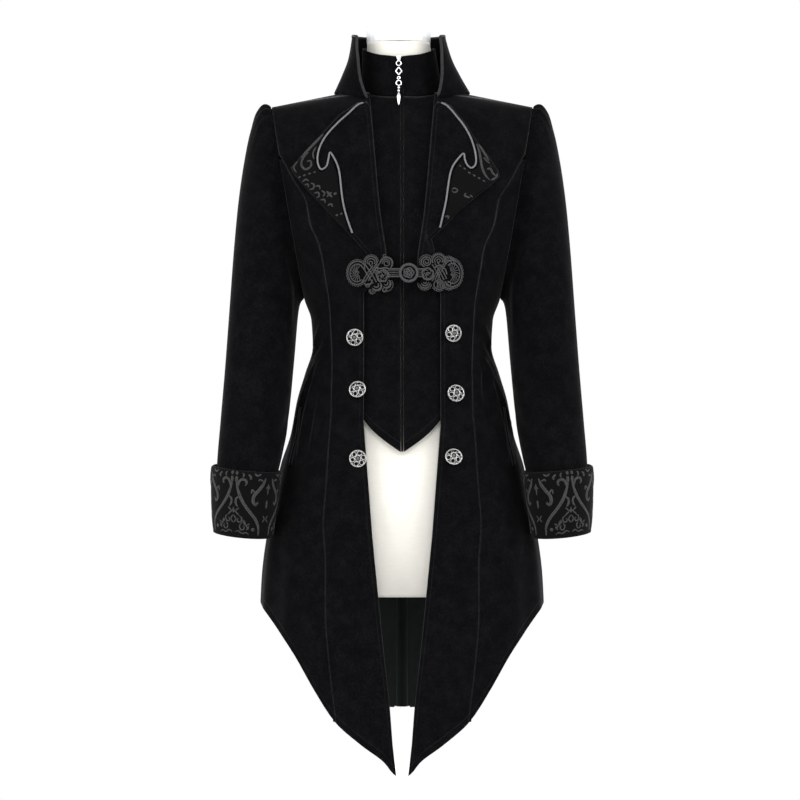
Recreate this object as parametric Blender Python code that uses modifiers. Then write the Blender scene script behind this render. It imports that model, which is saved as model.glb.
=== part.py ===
"""A gothic tailcoat in black velvet, worn on a limbless dress form that stands on a round base.

The coat faces -Y and +Z is up. The origin is on the floor, under the middle of the base.
Left and right are the viewer's, so left is -X. Tables are in millimetres, and MM turns them to metres.
"""

import math

import bmesh
import bpy
from mathutils import Matrix, Vector

MM = 0.001

# Walls and the small gaps between sewn pieces
CLOTH = 1.8
COLLAR_CLOTH = 2.4
CUFF_CLOTH = 2.2
DAMASK = 1.2
SEAM = 0.5
SHOULDER_HALF_GAP = 0.7
VEST_LIFT = -5.0
LAPEL_LIFT = 3.0
LAPEL_SPRING = 4.0

# The armhole is an ellipse in a leaning plane, from the underarm point to the shoulder point
ARMPIT_Z = 936.0
ARMPIT_X = 138.0
SHOULDER_Z = 1207.0
SHOULDER_X = 185.0
ARMHOLE_DEPTH = 59.0
SIDE_Y = 0.0

# The shoulder line climbs towards the neck from where the chest starts to turn back
NECK_RISE = 0.2
RISE_FROM_Z = 1080.0

# How square the body's level sections are: 1 is an ellipse, less is squarer
SQUARE = 0.86

# height, half width, depth in front, depth behind
BODY = (
    (200, 206, 168, 184),
    (341, 205, 166, 178),
    (430, 203, 163, 171),
    (507, 200, 158, 163),
    (545, 198, 154, 157),
    (594, 192, 148, 150),
    (650, 180, 141, 140),
    (697, 172, 134, 130),
    (744, 157, 125, 118),
    (792, 148, 114, 105),
    (829, 137, 105, 94),
    (868, 126, 98, 86),
    (906, 128, 103, 86),
    (936, 138, 110, 90),
    (980, 146, 118, 93),
    (1020, 153, 121, 95),
    (1060, 160, 118, 96),
    (1100, 167, 108, 95),
    (1130, 172, 98, 90),
    (1160, 177, 83, 80),
    (1180, 180, 67, 68),
    (1195, 183, 46, 48),
    (1203, 184, 26, 27),
    (1207, 185, 0.6, 0.6),
)

# Flutes of the skirt: where round the body in degrees from the front, half width in degrees, height at the hem
FLUTES = (
    (46, 8.0, 7.0),
    (66, 8.0, 6.0),
    (108, 9.0, 9.0),
    (130, 9.0, 8.0),
    (160, 9.0, 6.0),
)
FLUTE_TOP_Z = 850.0
FLUTE_FULL_Z = 480.0

# height, front edge's distance from the middle: fold line of the lapel, then the cutaway under the frog
FRONT_EDGE = (
    (276, 7.7),
    (319, 12.6),
    (371, 16.5),
    (441, 24.2),
    (522, 32.5),
    (606, 40.8),
    (682, 46.7),
    (758, 52.8),
    (943, 52.8),
    (967, 19.5),
    (996, 21.0),
    (1050, 29.3),
    (1120, 36.3),
    (1207, 46.5),
)

# height, front princess seam's distance from the middle
FRONT_SEAM = (
    (276, 84),
    (355, 92),
    (403, 98),
    (440, 102),
    (502, 106),
    (567, 106),
    (619, 109),
    (675, 105),
    (725, 102),
    (784, 98),
    (843, 98),
    (896, 100),
    (928, 102),
    (961, 107),
    (1009, 116),
    (1039, 129),
    (1069, 134),
    (1100, 152),
    (1135, 171),
)

# height, back princess seam's distance from the middle
BACK_SEAM = (
    (341, 104),
    (440, 108),
    (507, 106),
    (600, 100),
    (700, 92),
    (800, 78),
    (868, 66),
    (936, 78),
    (1000, 94),
    (1040, 112),
    (1080, 140),
    (1112, 168),
)

# height, how far out the cut hem is: in front it slants down to the pointed tails
FRONT_HEM = (
    (266, -24),
    (276, 8),
    (296, 26),
    (318, 56),
    (349, 92),
    (391, 120.5),
    (443, 151),
    (482, 179),
    (507, 200),
    (540, 240),
)
BACK_HEM = (
    (339, -60),
    (341, 10),
    (344, 84),
    (351, 103),
    (385, 126),
    (425, 151),
    (465, 177),
    (507, 200),
    (540, 240),
)

# Heights of the rows that all body panels share, and the shares of the way from the hem up to the first of them
BODY_ROWS = (
    507, 560, 618, 675, 730, 787, 830, 868, 904, 936, 944, 967, 1000, 1050, 1095, 1130,
)
HEM_SHARES = (0.0, 0.33, 0.67)
SHOULDER_SHARES = (0.36, 0.66, 0.86, 1.0)

# Neck hole: half width, depth in front, depth behind
NECK_HOLE = (64.0, 60.0, 68.0)
VEST_NECK = (57.5, 54.5, 61.0)
COLLAR_FOOT = (95.0, 62.6, 72.0)

# Sleeve rings: outer edge x and z, inner edge x and z, half depth, middle y, how much lower the front is
SLEEVE = (
    (187.2, 1207.0, 140.2, 936.3, 58.5, 0, 0.0),
    (194.5, 1209.0, 143.5, 933.0, 61.5, 0, 0.0),
    (205.0, 1199.0, 146.5, 925.0, 66.0, -1, 0.0),
    (214.5, 1172.0, 148.5, 911.0, 69.0, -3, 0.0),
    (223.0, 1130.0, 150.5, 888.0, 68.0, -6, 0.0),
    (231.0, 1072.0, 152.5, 861.0, 65.0, -12, 0.0),
    (237.0, 1004.0, 155.0, 830.0, 61.0, -21, 0.02),
    (242.5, 920.0, 158.5, 788.0, 57.0, -36, 0.07),
    (248.0, 836.0, 163.5, 745.0, 53.0, -53, 0.12),
    (253.5, 764.0, 169.5, 712.0, 49.5, -66, 0.17),
    (258.0, 702.0, 175.4, 684.0, 46.0, -76, 0.16),
    (260.5, 616.0, 183.6, 608.0, 38.6, -84, 0.1),
)
SLEEVE_SIDES = 26
GATHER = 1.7
GATHERED_RINGS = (0.35, 1.0, 0.9, 0.6, 0.25)

# Cuff rings, as the sleeve's, from the top edge down to the hem of the sleeve
CUFF = (
    (265.2, 701.5, 169.4, 692.5, 52.6, -77.4, 0.06),
    (266.4, 693.0, 170.2, 684.5, 52.6, -78.2, 0.06),
    (265.8, 652.0, 175.6, 644.0, 48.0, -81.5, 0.08),
    (262.6, 609.5, 181.0, 601.5, 41.8, -84, 0.1),
)
CUFF_SIDES = 24

# Standing collar: share of the height, half width, depth in front, depth behind, edge angle, squareness, lean
COLLAR = (
    (0.0, 95.0, 62.6, 72.0, 31.0, 1.0, 0.0),
    (0.3, 83.0, 66.0, 68.0, 40.0, 0.86, -1.5),
    (0.62, 72.0, 70.0, 64.0, 49.0, 0.72, -3.0),
    (0.9, 66.5, 73.0, 61.0, 56.0, 0.62, -4.5),
    (1.0, 65.0, 74.0, 60.0, 57.0, 0.6, -5.0),
)
COLLAR_TOP_Z = 1308.0
COLLAR_BACK_TOP_Z = 1306.0
COLLAR_SIDES = 20
COLLAR_FOOT_LIFT = 2.8

# Inner stand collar of the waistcoat
STAND_TOP = (51.0, 51.0, 53.0)
# Its top edge: degrees round from the front, height. It climbs to the wings of the outer collar
STAND_EDGE = ((0, 1281), (36, 1283.5), (54, 1290), (72, 1305), (90, 1305), (126, 1299), (180, 1297))
STAND_SIDES = 20
STAND_ROWS = 3
# How far round the first columns stand back from the zip, how far the collar leans and how high its foot sits
STAND_FIRST_TURN = 4.5
NECK_LEAN = -5.0
STAND_FOOT_RISE = 1.5

# Lapels seen from the front, from the collar down: distance from the middle and height. The right one is narrower
LAPEL_EDGE = {
    "left": (
        (49, 1208), (62, 1206.5), (74, 1198), (87, 1189), (151, 1116.5), (148.6, 1109.5), (128, 1083.5),
        (94, 1046), (70, 1020), (49, 996), (30, 976), (22.5, 969),
    ),
    "right": (
        (49, 1208), (60, 1206.5), (69, 1201), (79, 1187.5), (90, 1173), (98.5, 1159), (107, 1146.5), (120, 1128.5),
        (131.5, 1110.5), (132.5, 1103), (121, 1091), (94, 1068), (76, 1052.5), (63, 1037.5), (40.5, 1015.5),
        (44, 1003), (44, 988), (30, 974), (22.5, 969),
    ),
}
PIPING_PATH = {
    "left": (
        (54, 1205), (62, 1201.5), (74, 1190), (89, 1176), (103, 1160), (111.5, 1145), (115, 1131),
        (114.3, 1119.5), (110, 1112), (103, 1116), (100.5, 1126), (98.6, 1135), (93.5, 1128.5),
        (88, 1116.5), (85, 1103), (83.5, 1089), (81.5, 1073), (78.5, 1058), (73.5, 1040.5), (67.5, 1024),
    ),
    "right": (
        (54, 1205), (61, 1201.5), (68, 1194.5), (75.7, 1184.8), (84.5, 1173.4), (91.5, 1161), (96, 1149.9),
        (99.5, 1137), (100.8, 1124.5), (99.2, 1117.3), (94.2, 1113.5), (88.8, 1117.7), (85.8, 1125), (84.1, 1133.5),
        (77.3, 1127.3), (69.8, 1116.6), (65.8, 1105.5), (63, 1089), (60.1, 1069.4), (56.3, 1051.5), (51.4, 1031),
    ),
}
PIPING_RADIUS = 1.35
# Damask of the lapels: the edge beside the piping from the top down, then the outer edge back up
DAMASK_INNER = {
    "left": (
        (79, 1191.5), (92, 1177.5), (106, 1161), (114.6, 1145.5), (118.2, 1131), (117.3, 1118), (111, 1108.3),
        (103, 1111), (98.6, 1121), (96.5, 1125), (92.5, 1116), (88.6, 1102.5), (86.8, 1088.5), (84.8, 1072.5),
        (81.6, 1057), (77, 1040.5), (73.5, 1029),
    ),
    "right": (
        (98.2, 1153.5), (100.6, 1146), (103, 1137), (104.3, 1124.5), (102.6, 1115), (94.5, 1109.6), (87.2, 1112.6),
        (83.6, 1120), (82.2, 1124), (78, 1120.5), (72.8, 1113), (69.2, 1104), (66.4, 1088.5), (63.5, 1069),
        (59.7, 1051), (57.2, 1039.5),
    ),
}
DAMASK_OUTER = {
    "left": ((75.5, 1027.5), (93.5, 1048), (126.6, 1084.8), (146.6, 1110.3), (148.6, 1115.6), (85.3, 1188)),
    "right": (
        (58.8, 1036.8), (76, 1055), (94, 1070.8), (120, 1093), (130, 1103.8), (129.2, 1109.5), (118.4, 1127),
        (105.6, 1144.5), (99.2, 1154),
    ),
}
LAPEL_CELL = 24.0
DAMASK_GAP = 1.3
PIPING_GAP = 0.4

# Waistcoat hem: distance from the middle and height
VEST_HEM = ((0, 720), (7, 724.6), (21, 734), (33, 743), (47, 756), (62, 776), (80, 805))
VEST_COLUMNS = (0.0, 0.22, 0.5, 0.75, 1.0)
VEST_WIDE = ((700, 66), (868, 66), (1000, 70), (1120, 78), (1207, 93))
ZIP_HALF = 4.0
ZIP_BOTTOM_Z = 722.0
ZIP_ROWS = 16
ZIP_NECK_ROWS = 3
TAPE_HALF = 1.55

# Frog halves: x, z, radius, height of each corded round; the first of each is the centre the others are set round
FROG_LEFT = (
    (-40, 968, 17, 2.6),
    (-61, 968.7, 14, 4.2),
    (-41.6, 986.8, 9.5, 3.8),
    (-21.5, 982.6, 9.0, 4.2),
    (-26, 966, 10.5, 5.2),
    (-45.8, 966, 10.5, 4.0),
    (-34.7, 950.7, 8.0, 3.6),
    (-19.8, 951.5, 7.5, 3.8),
    (-41.5, 944.0, 5.5, 3.2),
    (-9, 970, 4.2, 3.0),
)
FROG_RIGHT = (
    (47, 968, 17, 2.6),
    (68, 968.7, 14, 4.2),
    (32, 984.0, 9.0, 4.0),
    (47, 988.0, 8.5, 3.8),
    (62, 986.0, 8.5, 3.6),
    (36, 967.3, 10.5, 5.2),
    (53, 966.0, 9.0, 4.0),
    (31, 953.5, 7.5, 3.6),
    (48.6, 951.0, 8.0, 3.8),
    (63, 952.5, 7.5, 3.4),
    (25.2, 970, 4.2, 3.0),
)
FROG_LIFT = 6.8
FROG_BASE = 1.6
FROG_RING = (9.0, 970.0, 11.6, 2.1)
# The knot's turned outline: distance from its axis, height over its middle
KNOT_TURN = ((0, 5), (3.8, 4.5), (6.8, 3.2), (8.6, 1.3), (8.8, -0.9), (6.8, -3.2), (3.8, -4.5), (0, -5))

# Buttons: x, z, tilt sideways and tilt up in degrees, height of the shank's end over the middle of the cloth
BUTTONS = (
    ("button_left_top", -64.6, 880, 10, -6, 2.4),
    ("button_left_middle", -61, 806, 3, -4, 1.8),
    ("button_left_bottom", -61, 711, 14, 8, 1.7),
    ("button_right_top", 69.5, 886, -4, -5, 2.2),
    ("button_right_middle", 73.6, 801, -6, 4, 1.7),
    ("button_right_bottom", 70.7, 712.5, -10, -12, 1.7),
)
# The button's turned outline: distance from its axis, height over the cloth
BUTTON_TURN = ((0, 9.4), (5.0, 8.6), (9.4, 6.4), (12.0, 3.6), (11.0, 2.6), (3.0, 2.2), (2.6, 0), (0, 0))
BUTTON_SIDES = 14

# Pocket welt on the side panel: turn from the front in degrees and height of its two ends
POCKET = ((67, 782), (61, 700))
POCKET_HALF_TURN = 1.3
POCKET_LIFT = 3.2
POCKET_ROWS = 5

# Dress form rings: height, half width, depth in front, depth behind, sideways lean
FORM = (
    (519, 158, 119, 128, 0),
    (560, 165, 124, 132, 0),
    (640, 166, 126, 128, 0),
    (697, 160, 120, 118, 0),
    (744, 146, 111, 107, 0),
    (792, 136, 101, 95, 0),
    (829, 126, 93, 84, 0),
    (868, 116, 87, 77, 0),
    (906, 118, 92, 77, 0),
    (944, 126, 99, 81, 0),
    (1000, 136, 106, 85, 0),
    (1060, 145, 103, 86, 0),
    (1110, 147, 90, 82, 0),
    (1149.6, 138.4, 68, 68, 0),
    (1177.7, 116, 51, 55, 0),
    (1198.7, 87, 44, 49, 0),
    (1211.6, 63, 42.5, 46, -1),
    (1227, 50, 42.5, 44.5, -2),
    (1299, 45, 43, 43, -5),
)
FORM_SIDES = 26
FORM_GAP = 0.3
CAP_RADIUS = 45.4
CAP_TOP_Z = 1320.0
POLE_UPPER_RADIUS = 8.0
POLE_LOWER_RADIUS = 11.0
POLE_JOIN_Z = 358.0
POLE_SIDES = 16
BASE_RADIUS = 180.0
# The base's turned outline: distance from the axis, height
BASE_TURN = ((0, 26), (24, 26), (27, 22), (30, 16), (160, 12), (176, 10), (180, 6), (180, 0), (0, 0))

# Zip slider, and the links of its pull from the top down: radius of the ring, of its wire, number of sides
SLIDER_Z = 1272.0
SLIDER_SIZE = (7.0, 3.4, 9.0)
SLIDER_EDGE = 0.9
PULL_LINKS = (
    ("zip_pull_ring", 3.4, 0.8, 12),
    ("zip_pull_diamond", 6.0, 1.0, 4),
    ("zip_pull_small_link", 1.9, 0.8, 10),
    ("zip_pull_round_link", 3.6, 0.9, 12),
)
PULL_GAP = 0.3
BEAD_RADIUS = 2.1
# The drop's turned outline: distance from its axis, height over its point
DROP_TURN = ((0, 19), (1.6, 18.4), (2.9, 14.5), (3.0, 11), (1.9, 5), (0.8, 0.8), (0, 0))

VELVET = ("velvet", (0.006, 0.006, 0.007), 0.85, 0.0)
BROCADE = ("damask", (0.02, 0.02, 0.021), 0.6, 0.0)
CORDING = ("cording", (0.03, 0.03, 0.032), 0.5, 0.0)
LINEN = ("linen", (0.82, 0.78, 0.70), 0.85, 0.0)
CAP_PAINT = ("cap_paint", (0.8, 0.81, 0.82), 0.3, 0.0)
SILVER = ("old_silver", (0.45, 0.45, 0.44), 0.35, 1.0)
BLACK_STEEL = ("black_steel", (0.03, 0.032, 0.03), 0.45, 0.6)
WHITE_STEEL = ("white_steel", (0.85, 0.85, 0.85), 0.4, 0.0)
TAPE = ("zip_tape", (0.008, 0.008, 0.009), 0.7, 0.0)

for old in list(bpy.data.objects):
    bpy.data.objects.remove(old, do_unlink=True)
coat = bpy.data.collections.new("gothic_tailcoat")
bpy.context.scene.collection.children.link(coat)


def material(finish):
    """The Principled material of a finish, made once."""
    name, colour, roughness, metallic = finish
    made = bpy.data.materials.get(name)
    if made is None:
        made = bpy.data.materials.new(name)
        made.use_nodes = True
        shader = made.node_tree.nodes["Principled BSDF"]
        shader.inputs["Base Color"].default_value = (*colour, 1.0)
        shader.inputs["Roughness"].default_value = roughness
        shader.inputs["Metallic"].default_value = metallic
        made.diffuse_color = (*colour, 1.0)
    return made


def curve_through(rows, column=1):
    """A smooth function through a table's rows that never swings past them."""
    at = [row[0] for row in rows]
    to = [row[column] for row in rows]
    slopes = [(to[i + 1] - to[i]) / (at[i + 1] - at[i]) for i in range(len(rows) - 1)]
    tangents = [slopes[0]]
    for before, after in zip(slopes, slopes[1:]):
        tangents.append(0.0 if before * after <= 0 else 2 * before * after / (before + after))
    tangents.append(slopes[-1])

    def value(where):
        if where <= at[0]:
            return to[0] + tangents[0] * (where - at[0])
        if where >= at[-1]:
            return to[-1]
        i = max(k for k in range(len(at) - 1) if at[k] <= where)
        span = at[i + 1] - at[i]
        s = (where - at[i]) / span
        bend = (s - 1) * s * ((tangents[i] * span - (to[i + 1] - to[i])) * (s - 1)
                              + (tangents[i + 1] * span - (to[i + 1] - to[i])) * s)
        return to[i] + (to[i + 1] - to[i]) * s + bend

    return value


def polyline(rows):
    """Straight runs between a table's rows."""
    def value(where):
        for (a, low), (b, high) in zip(rows, rows[1:]):
            if where <= b:
                return low + (high - low) * (where - a) / (b - a)
        return rows[-1][1]
    return value


body_width = curve_through(BODY, 1)
body_front = curve_through(BODY, 2)
body_back = curve_through(BODY, 3)
front_edge = polyline(FRONT_EDGE)
front_seam = curve_through(FRONT_SEAM)
back_seam = curve_through(BACK_SEAM)
front_hem = curve_through(FRONT_HEM)
back_hem = curve_through(BACK_HEM)
vest_wide = curve_through(VEST_WIDE)
stand_edge = curve_through(STAND_EDGE)


def ease(share):
    share = min(1.0, max(0.0, share))
    return share * share * (3 - 2 * share)


def solve(function, low, high):
    """Where a rising function crosses zero."""
    for _ in range(48):
        middle = (low + high) / 2
        if function(middle) < 0:
            low = middle
        else:
            high = middle
    return (low + high) / 2


def armhole_x(z):
    """How far out the armhole's leaning plane is at a height."""
    return ARMPIT_X + (SHOULDER_X - ARMPIT_X) * (z - ARMPIT_Z) / (SHOULDER_Z - ARMPIT_Z)


def armhole_depth(z):
    middle = (ARMPIT_Z + SHOULDER_Z) / 2
    share = (z - middle) / (SHOULDER_Z - middle)
    return ARMHOLE_DEPTH * math.sqrt(max(0.0, 1 - share * share))


def depth_at(z, behind):
    return body_back(z) if behind else body_front(z)


def reach(z, behind):
    """Half width of the full section. Over the armpit it passes beyond the armhole, which cuts it off."""
    if z <= ARMPIT_Z:
        return body_width(z)
    share = min(0.97, armhole_depth(z) / depth_at(z, behind))
    return armhole_x(z) / (1 - share ** (2 / SQUARE)) ** (SQUARE / 2)


def armhole_turn(z, behind):
    """How far round from the front, in degrees, the armhole's edge is."""
    if z <= ARMPIT_Z:
        return 90.0
    share = min(0.97, armhole_depth(z) / depth_at(z, behind))
    turn = math.degrees(math.acos(share ** (1 / SQUARE)))
    return 180 - turn if behind else turn


def turn_at(x, z, behind=False):
    """How far round from the front a point at a distance from the middle is."""
    share = min(1.0, max(0.0, x / reach(z, behind)))
    turn = math.degrees(math.asin(share ** (1 / SQUARE)))
    return 180 - turn if behind else turn


def flute(turn, z):
    """How far the skirt's flutes push the cloth out."""
    grown = ease((FLUTE_TOP_Z - z) / (FLUTE_TOP_Z - FLUTE_FULL_Z))
    return grown * sum(high * math.exp(-((turn - where) / wide) ** 2) for where, wide, high in FLUTES)


def bare_point(turn, z):
    """A point in the middle of the coat's wall, on the right side."""
    behind = turn > 90
    sine, cosine = math.sin(math.radians(turn)), math.cos(math.radians(turn))
    x = reach(z, behind) * math.copysign(abs(sine) ** SQUARE, sine)
    deep = depth_at(z, behind) * abs(cosine) ** SQUARE
    if z > ARMPIT_Z:
        deep = max(deep, SHOULDER_HALF_GAP)
    y = deep if behind else -deep
    out = 1 + flute(turn, z) / max(1.0, math.hypot(x, y))
    rise = NECK_RISE * (armhole_x(z) - abs(x)) * ease((z - RISE_FROM_Z) / (SHOULDER_Z - RISE_FROM_Z))
    return Vector((x * out, SIDE_Y + y * out, z + max(0.0, rise)))


def outward(turn, z):
    """The way out of the coat's wall at a point."""
    behind = turn > 90
    first = 90.01 if behind else turn - 0.6
    last = turn + 0.6 if behind else 90.0
    across = bare_point(min(last, turn + 0.6), z) - bare_point(max(first, turn - 0.6), z)
    up = bare_point(turn, min(z + 1.5, SHOULDER_Z)) - bare_point(turn, min(z + 1.5, SHOULDER_Z) - 3)
    return across.cross(up).normalized()


def on_coat(turn, z, lift=0.0, side=1):
    """A point of the coat's wall, moved out by lift."""
    point = bare_point(turn, z) + (outward(turn, z) * lift if lift else Vector())
    return Vector((point.x * side, point.y, point.z))


def shared_height(x, z):
    """The table height whose point at x ends up at the real height z."""
    return solve(lambda low: low + NECK_RISE * (armhole_x(low) - abs(x))
                 * ease((low - RISE_FROM_Z) / (SHOULDER_Z - RISE_FROM_Z)) - z, z - 60, z + 1)


def on_front(x, z, lift=0.0):
    """The point of the coat's front that is seen at x and z."""
    low = min(SHOULDER_Z - 1, shared_height(x, z))
    side = -1 if x < 0 else 1
    return on_coat(turn_at(abs(x), low), low, lift, side)


def front_way_out(x, z):
    way = on_front(x, z, 1.0) - on_front(x, z)
    return way.normalized()


def hole_height(hole, turn, lift=0.0):
    """The table height at which the coat's wall meets an upright oval round the neck, and that point."""
    half, front, back = hole
    behind = turn > 90
    x = half * math.sin(math.radians(turn))
    y = (back if behind else front) * abs(math.cos(math.radians(turn)))
    low = solve(lambda z: y - depth_at(z, behind) * abs(math.cos(math.radians(turn_at(x, z, behind)))) ** SQUARE,
                1100, SHOULDER_Z)
    return low, on_coat(turn_at(x, low, behind), low, lift)


def add(name, mesh, finish, at=None, turned=None, parent=None):
    """Put a mesh in the coat's collection, as one named piece."""
    piece = bpy.data.objects.new(name, mesh)
    coat.objects.link(piece)
    mesh.materials.append(material(finish))
    if at is not None:
        piece.location = at
    if turned is not None:
        piece.rotation_euler = turned.to_euler()
    if parent is not None:
        piece.parent = parent
    return piece


def mesh_of(bm, name):
    mesh = bpy.data.meshes.new(name)
    bm.to_mesh(mesh)
    bm.free()
    mesh.shade_smooth()
    return mesh


def thicken(piece, wall):
    """Give an open surface its wall, half to each side."""
    wall_maker = piece.modifiers.new("wall", "SOLIDIFY")
    wall_maker.thickness = wall * MM
    wall_maker.offset = 0.0
    return piece


def grid(columns, rows, place):
    """A grid of cloth whose points are placed by their column and row."""
    bm = bmesh.new()
    bmesh.ops.create_grid(bm, x_segments=columns, y_segments=rows, size=0.5)
    for point in bm.verts:
        column = round((point.co.x + 0.5) * columns)
        row = round((point.co.y + 0.5) * rows)
        point.co = place(column, row) * MM
    return bm


def sheet(name, columns, rows, place, wall, finish, joined=False):
    """A cloth piece: a grid with a wall. A joined one meets itself, as a sleeve does."""
    bm = grid(columns, rows, place)
    if joined:
        bmesh.ops.remove_doubles(bm, verts=bm.verts, dist=0.000001)
    return thicken(add(name, mesh_of(bm, name), finish), wall)


def panel(name, side, columns, turn_of, rows, hem_of, top_of, lift=0.0):
    """A body panel. turn_of(share, z) is the place across, hem_of and top_of end each column."""
    heights = []
    for share in columns:
        hem = hem_of(share)
        column = [hem + (rows[0] - hem) * part for part in HEM_SHARES] + list(rows)
        if top_of is not None:
            column += [rows[-1] + (top_of(share) - rows[-1]) * part for part in SHOULDER_SHARES]
        heights.append(column)

    def place(column, row):
        z = heights[column][row]
        return on_coat(turn_of(columns[column], z), z, lift, side)

    return sheet(name, len(columns) - 1, len(heights[0]) - 1, place, CLOTH, VELVET)


def between(low, high, share):
    return low + (high - low) * share


# Front panels, from the front edge to the princess seam and over the shoulder
FRONT_COLUMNS = (0.0, 0.13, 0.4, 0.7, 1.0)


def seam_x(seam, z, top_z):
    """A princess seam's distance from the middle. It stops short of the armhole, and above it there is none."""
    if z <= ARMPIT_Z:
        return seam(z)
    if z > top_z:
        return armhole_x(z)
    return min(seam(z), armhole_x(z) - 3)


def front_x(share, z):
    outer = seam_x(front_seam, z, BODY_ROWS[-1])
    return between(front_edge(z) + SEAM, outer - SEAM / 2, share)


def front_turn(share, z):
    return min(turn_at(front_x(share, z), z), armhole_turn(z, False))


def front_top(share):
    """The neck hole's edge near the front, then the shoulder seam."""
    half, front, _ = NECK_HOLE
    x = front_x(share, SHOULDER_Z)
    if x >= half:
        return SHOULDER_Z
    return hole_height(NECK_HOLE, math.degrees(math.asin(x / half)))[0]


def hem_height(turn_of, hem, low):
    """The height at which each column of a panel meets the cut hem."""
    return lambda share: min(507.0, solve(lambda z: hem(z) - bare_point(turn_of(share, z), z).x, low, 509))


for label, side in (("left", -1), ("right", 1)):
    panel(f"front_{label}", side, FRONT_COLUMNS, front_turn, BODY_ROWS,
          hem_height(front_turn, front_hem, 266), front_top)

# Side front panels, from the princess seam to the side seam and the armhole
SIDE_COLUMNS = (0.0, 0.2, 0.4, 0.6, 0.8, 1.0)


def side_front_turn(share, z):
    first = turn_at(seam_x(front_seam, z, BODY_ROWS[-1]) + SEAM / 2, z)
    last = armhole_turn(z, False) - (0.15 if z <= ARMPIT_Z else 0.0)
    return between(first, last, share)


for label, side in (("left", -1), ("right", 1)):
    panel(f"side_front_{label}", side, SIDE_COLUMNS, side_front_turn, BODY_ROWS,
          hem_height(side_front_turn, front_hem, 266), None)


SIDE_BACK_ROWS = tuple(z for z in BODY_ROWS if z < BACK_SEAM[-1][0])


# Side back panels, from the side seam and the armhole to the back princess seam
def side_back_turn(share, z):
    first = armhole_turn(z, True) + (0.15 if z <= ARMPIT_Z else 0.0)
    last = turn_at(seam_x(back_seam, z, SIDE_BACK_ROWS[-1]) + SEAM / 2, z, True)
    return between(first, last, share)


for label, side in (("left", -1), ("right", 1)):
    panel(f"side_back_{label}", side, SIDE_COLUMNS, side_back_turn, SIDE_BACK_ROWS,
          hem_height(side_back_turn, back_hem, 339), None)

# Back panels, from the centre back seam to the princess seam and over the shoulder
BACK_COLUMNS = (0.0, 0.14, 0.26, 0.345, 0.65, 1.0)


def back_x(share, z):
    outer = seam_x(back_seam, z, SIDE_BACK_ROWS[-1])
    return between(SEAM / 2, outer - SEAM / 2, share)


def back_turn(share, z):
    return max(turn_at(back_x(share, z), z, True), armhole_turn(z, True))


def back_top(share):
    half = NECK_HOLE[0]
    x = back_x(share, SHOULDER_Z)
    if x >= half:
        return SHOULDER_Z
    return hole_height(NECK_HOLE, 180 - math.degrees(math.asin(x / half)))[0]


for label, side in (("left", -1), ("right", 1)):
    panel(f"back_{label}", side, BACK_COLUMNS, back_turn, BODY_ROWS,
          hem_height(back_turn, back_hem, 339), back_top)


# Sleeves and cuffs, as rings between their outer and inner edges
def ring_point(row, turn, side, swell=0.0):
    """A point of a leaning oval ring: turn 0 is the outer edge, 90 the front."""
    out_x, out_z, in_x, in_z, depth, middle_y, drop = row
    outer, inner = Vector((out_x, 0, out_z)), Vector((in_x, 0, in_z))
    middle, half = (outer + inner) / 2, (outer - inner) / 2
    forward = Vector((0, -depth - swell, -drop * depth))
    point = middle + half * (1 + swell / half.length) * math.cos(turn) + forward * math.sin(turn)
    return Vector((point.x * side, point.y + middle_y, point.z))


def gathers(row, column):
    """The gathered head: every other point stands out, over the shoulder only."""
    if row >= len(GATHERED_RINGS):
        return 0.0
    over = max(0.0, math.cos(2 * math.pi * column / SLEEVE_SIDES)) ** 0.5
    return GATHER * GATHERED_RINGS[row] * over * (1 if column % 2 else -0.6)


for label, side in (("left", -1), ("right", 1)):
    sheet(f"sleeve_{label}", SLEEVE_SIDES, len(SLEEVE) - 1,
          lambda column, row: ring_point(SLEEVE[row], 2 * math.pi * column / SLEEVE_SIDES, side,
                                         gathers(row, column % SLEEVE_SIDES)),
          CLOTH, VELVET, joined=True)
    sheet(f"cuff_{label}", CUFF_SIDES, len(CUFF) - 1,
          lambda column, row: ring_point(CUFF[row], 2 * math.pi * column / CUFF_SIDES, side),
          CUFF_CLOTH, BROCADE, joined=True)


# Outer collar: a band from one front edge round the neck to the other, standing on the shoulders
def collar_point(column, row):
    height, half, front, back, edge, square, lean = COLLAR[row]
    way = 2 * column / COLLAR_SIDES - 1
    turn = edge + (180 - edge) * (1 - abs(way))
    sine, cosine = math.sin(math.radians(turn)), math.cos(math.radians(turn))
    x = half * abs(sine) ** square
    y = -(front if cosine > 0 else back) * math.copysign(abs(cosine) ** square, cosine)
    foot_turn = COLLAR[0][4] + (180 - COLLAR[0][4]) * (1 - abs(way))
    foot = hole_height(COLLAR_FOOT, foot_turn, COLLAR_FOOT_LIFT)[1]
    top = between(COLLAR_BACK_TOP_Z, COLLAR_TOP_Z, ease(abs(way) * 1.6 - 0.3))
    if row == 0:
        return Vector((math.copysign(foot.x, way), foot.y, foot.z))
    return Vector((math.copysign(x, way) + lean, SIDE_Y + y, between(foot.z, top, height)))


sheet("collar_outer", COLLAR_SIDES, len(COLLAR) - 1, collar_point, COLLAR_CLOTH, VELVET)


# Inner stand collar, open at the zip
def stand_point(column, row):
    share = row / STAND_ROWS
    way = 2 * column / STAND_SIDES - 1
    turn = 180 * (1 - abs(way))
    foot = hole_height(VEST_NECK, max(STAND_FIRST_TURN, turn), VEST_LIFT)[1] + Vector((0, 0, STAND_FOOT_RISE))
    half, front, back = STAND_TOP
    sine, cosine = math.sin(math.radians(turn)), math.cos(math.radians(turn))
    top = Vector((half * sine, SIDE_Y - (front if cosine > 0 else back) * cosine, stand_edge(turn)))
    point = foot.lerp(top, share)
    if turn < STAND_FIRST_TURN:
        point.x = ZIP_HALF / 2
    return Vector((math.copysign(point.x, way) + NECK_LEAN * share, point.y, point.z))


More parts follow.
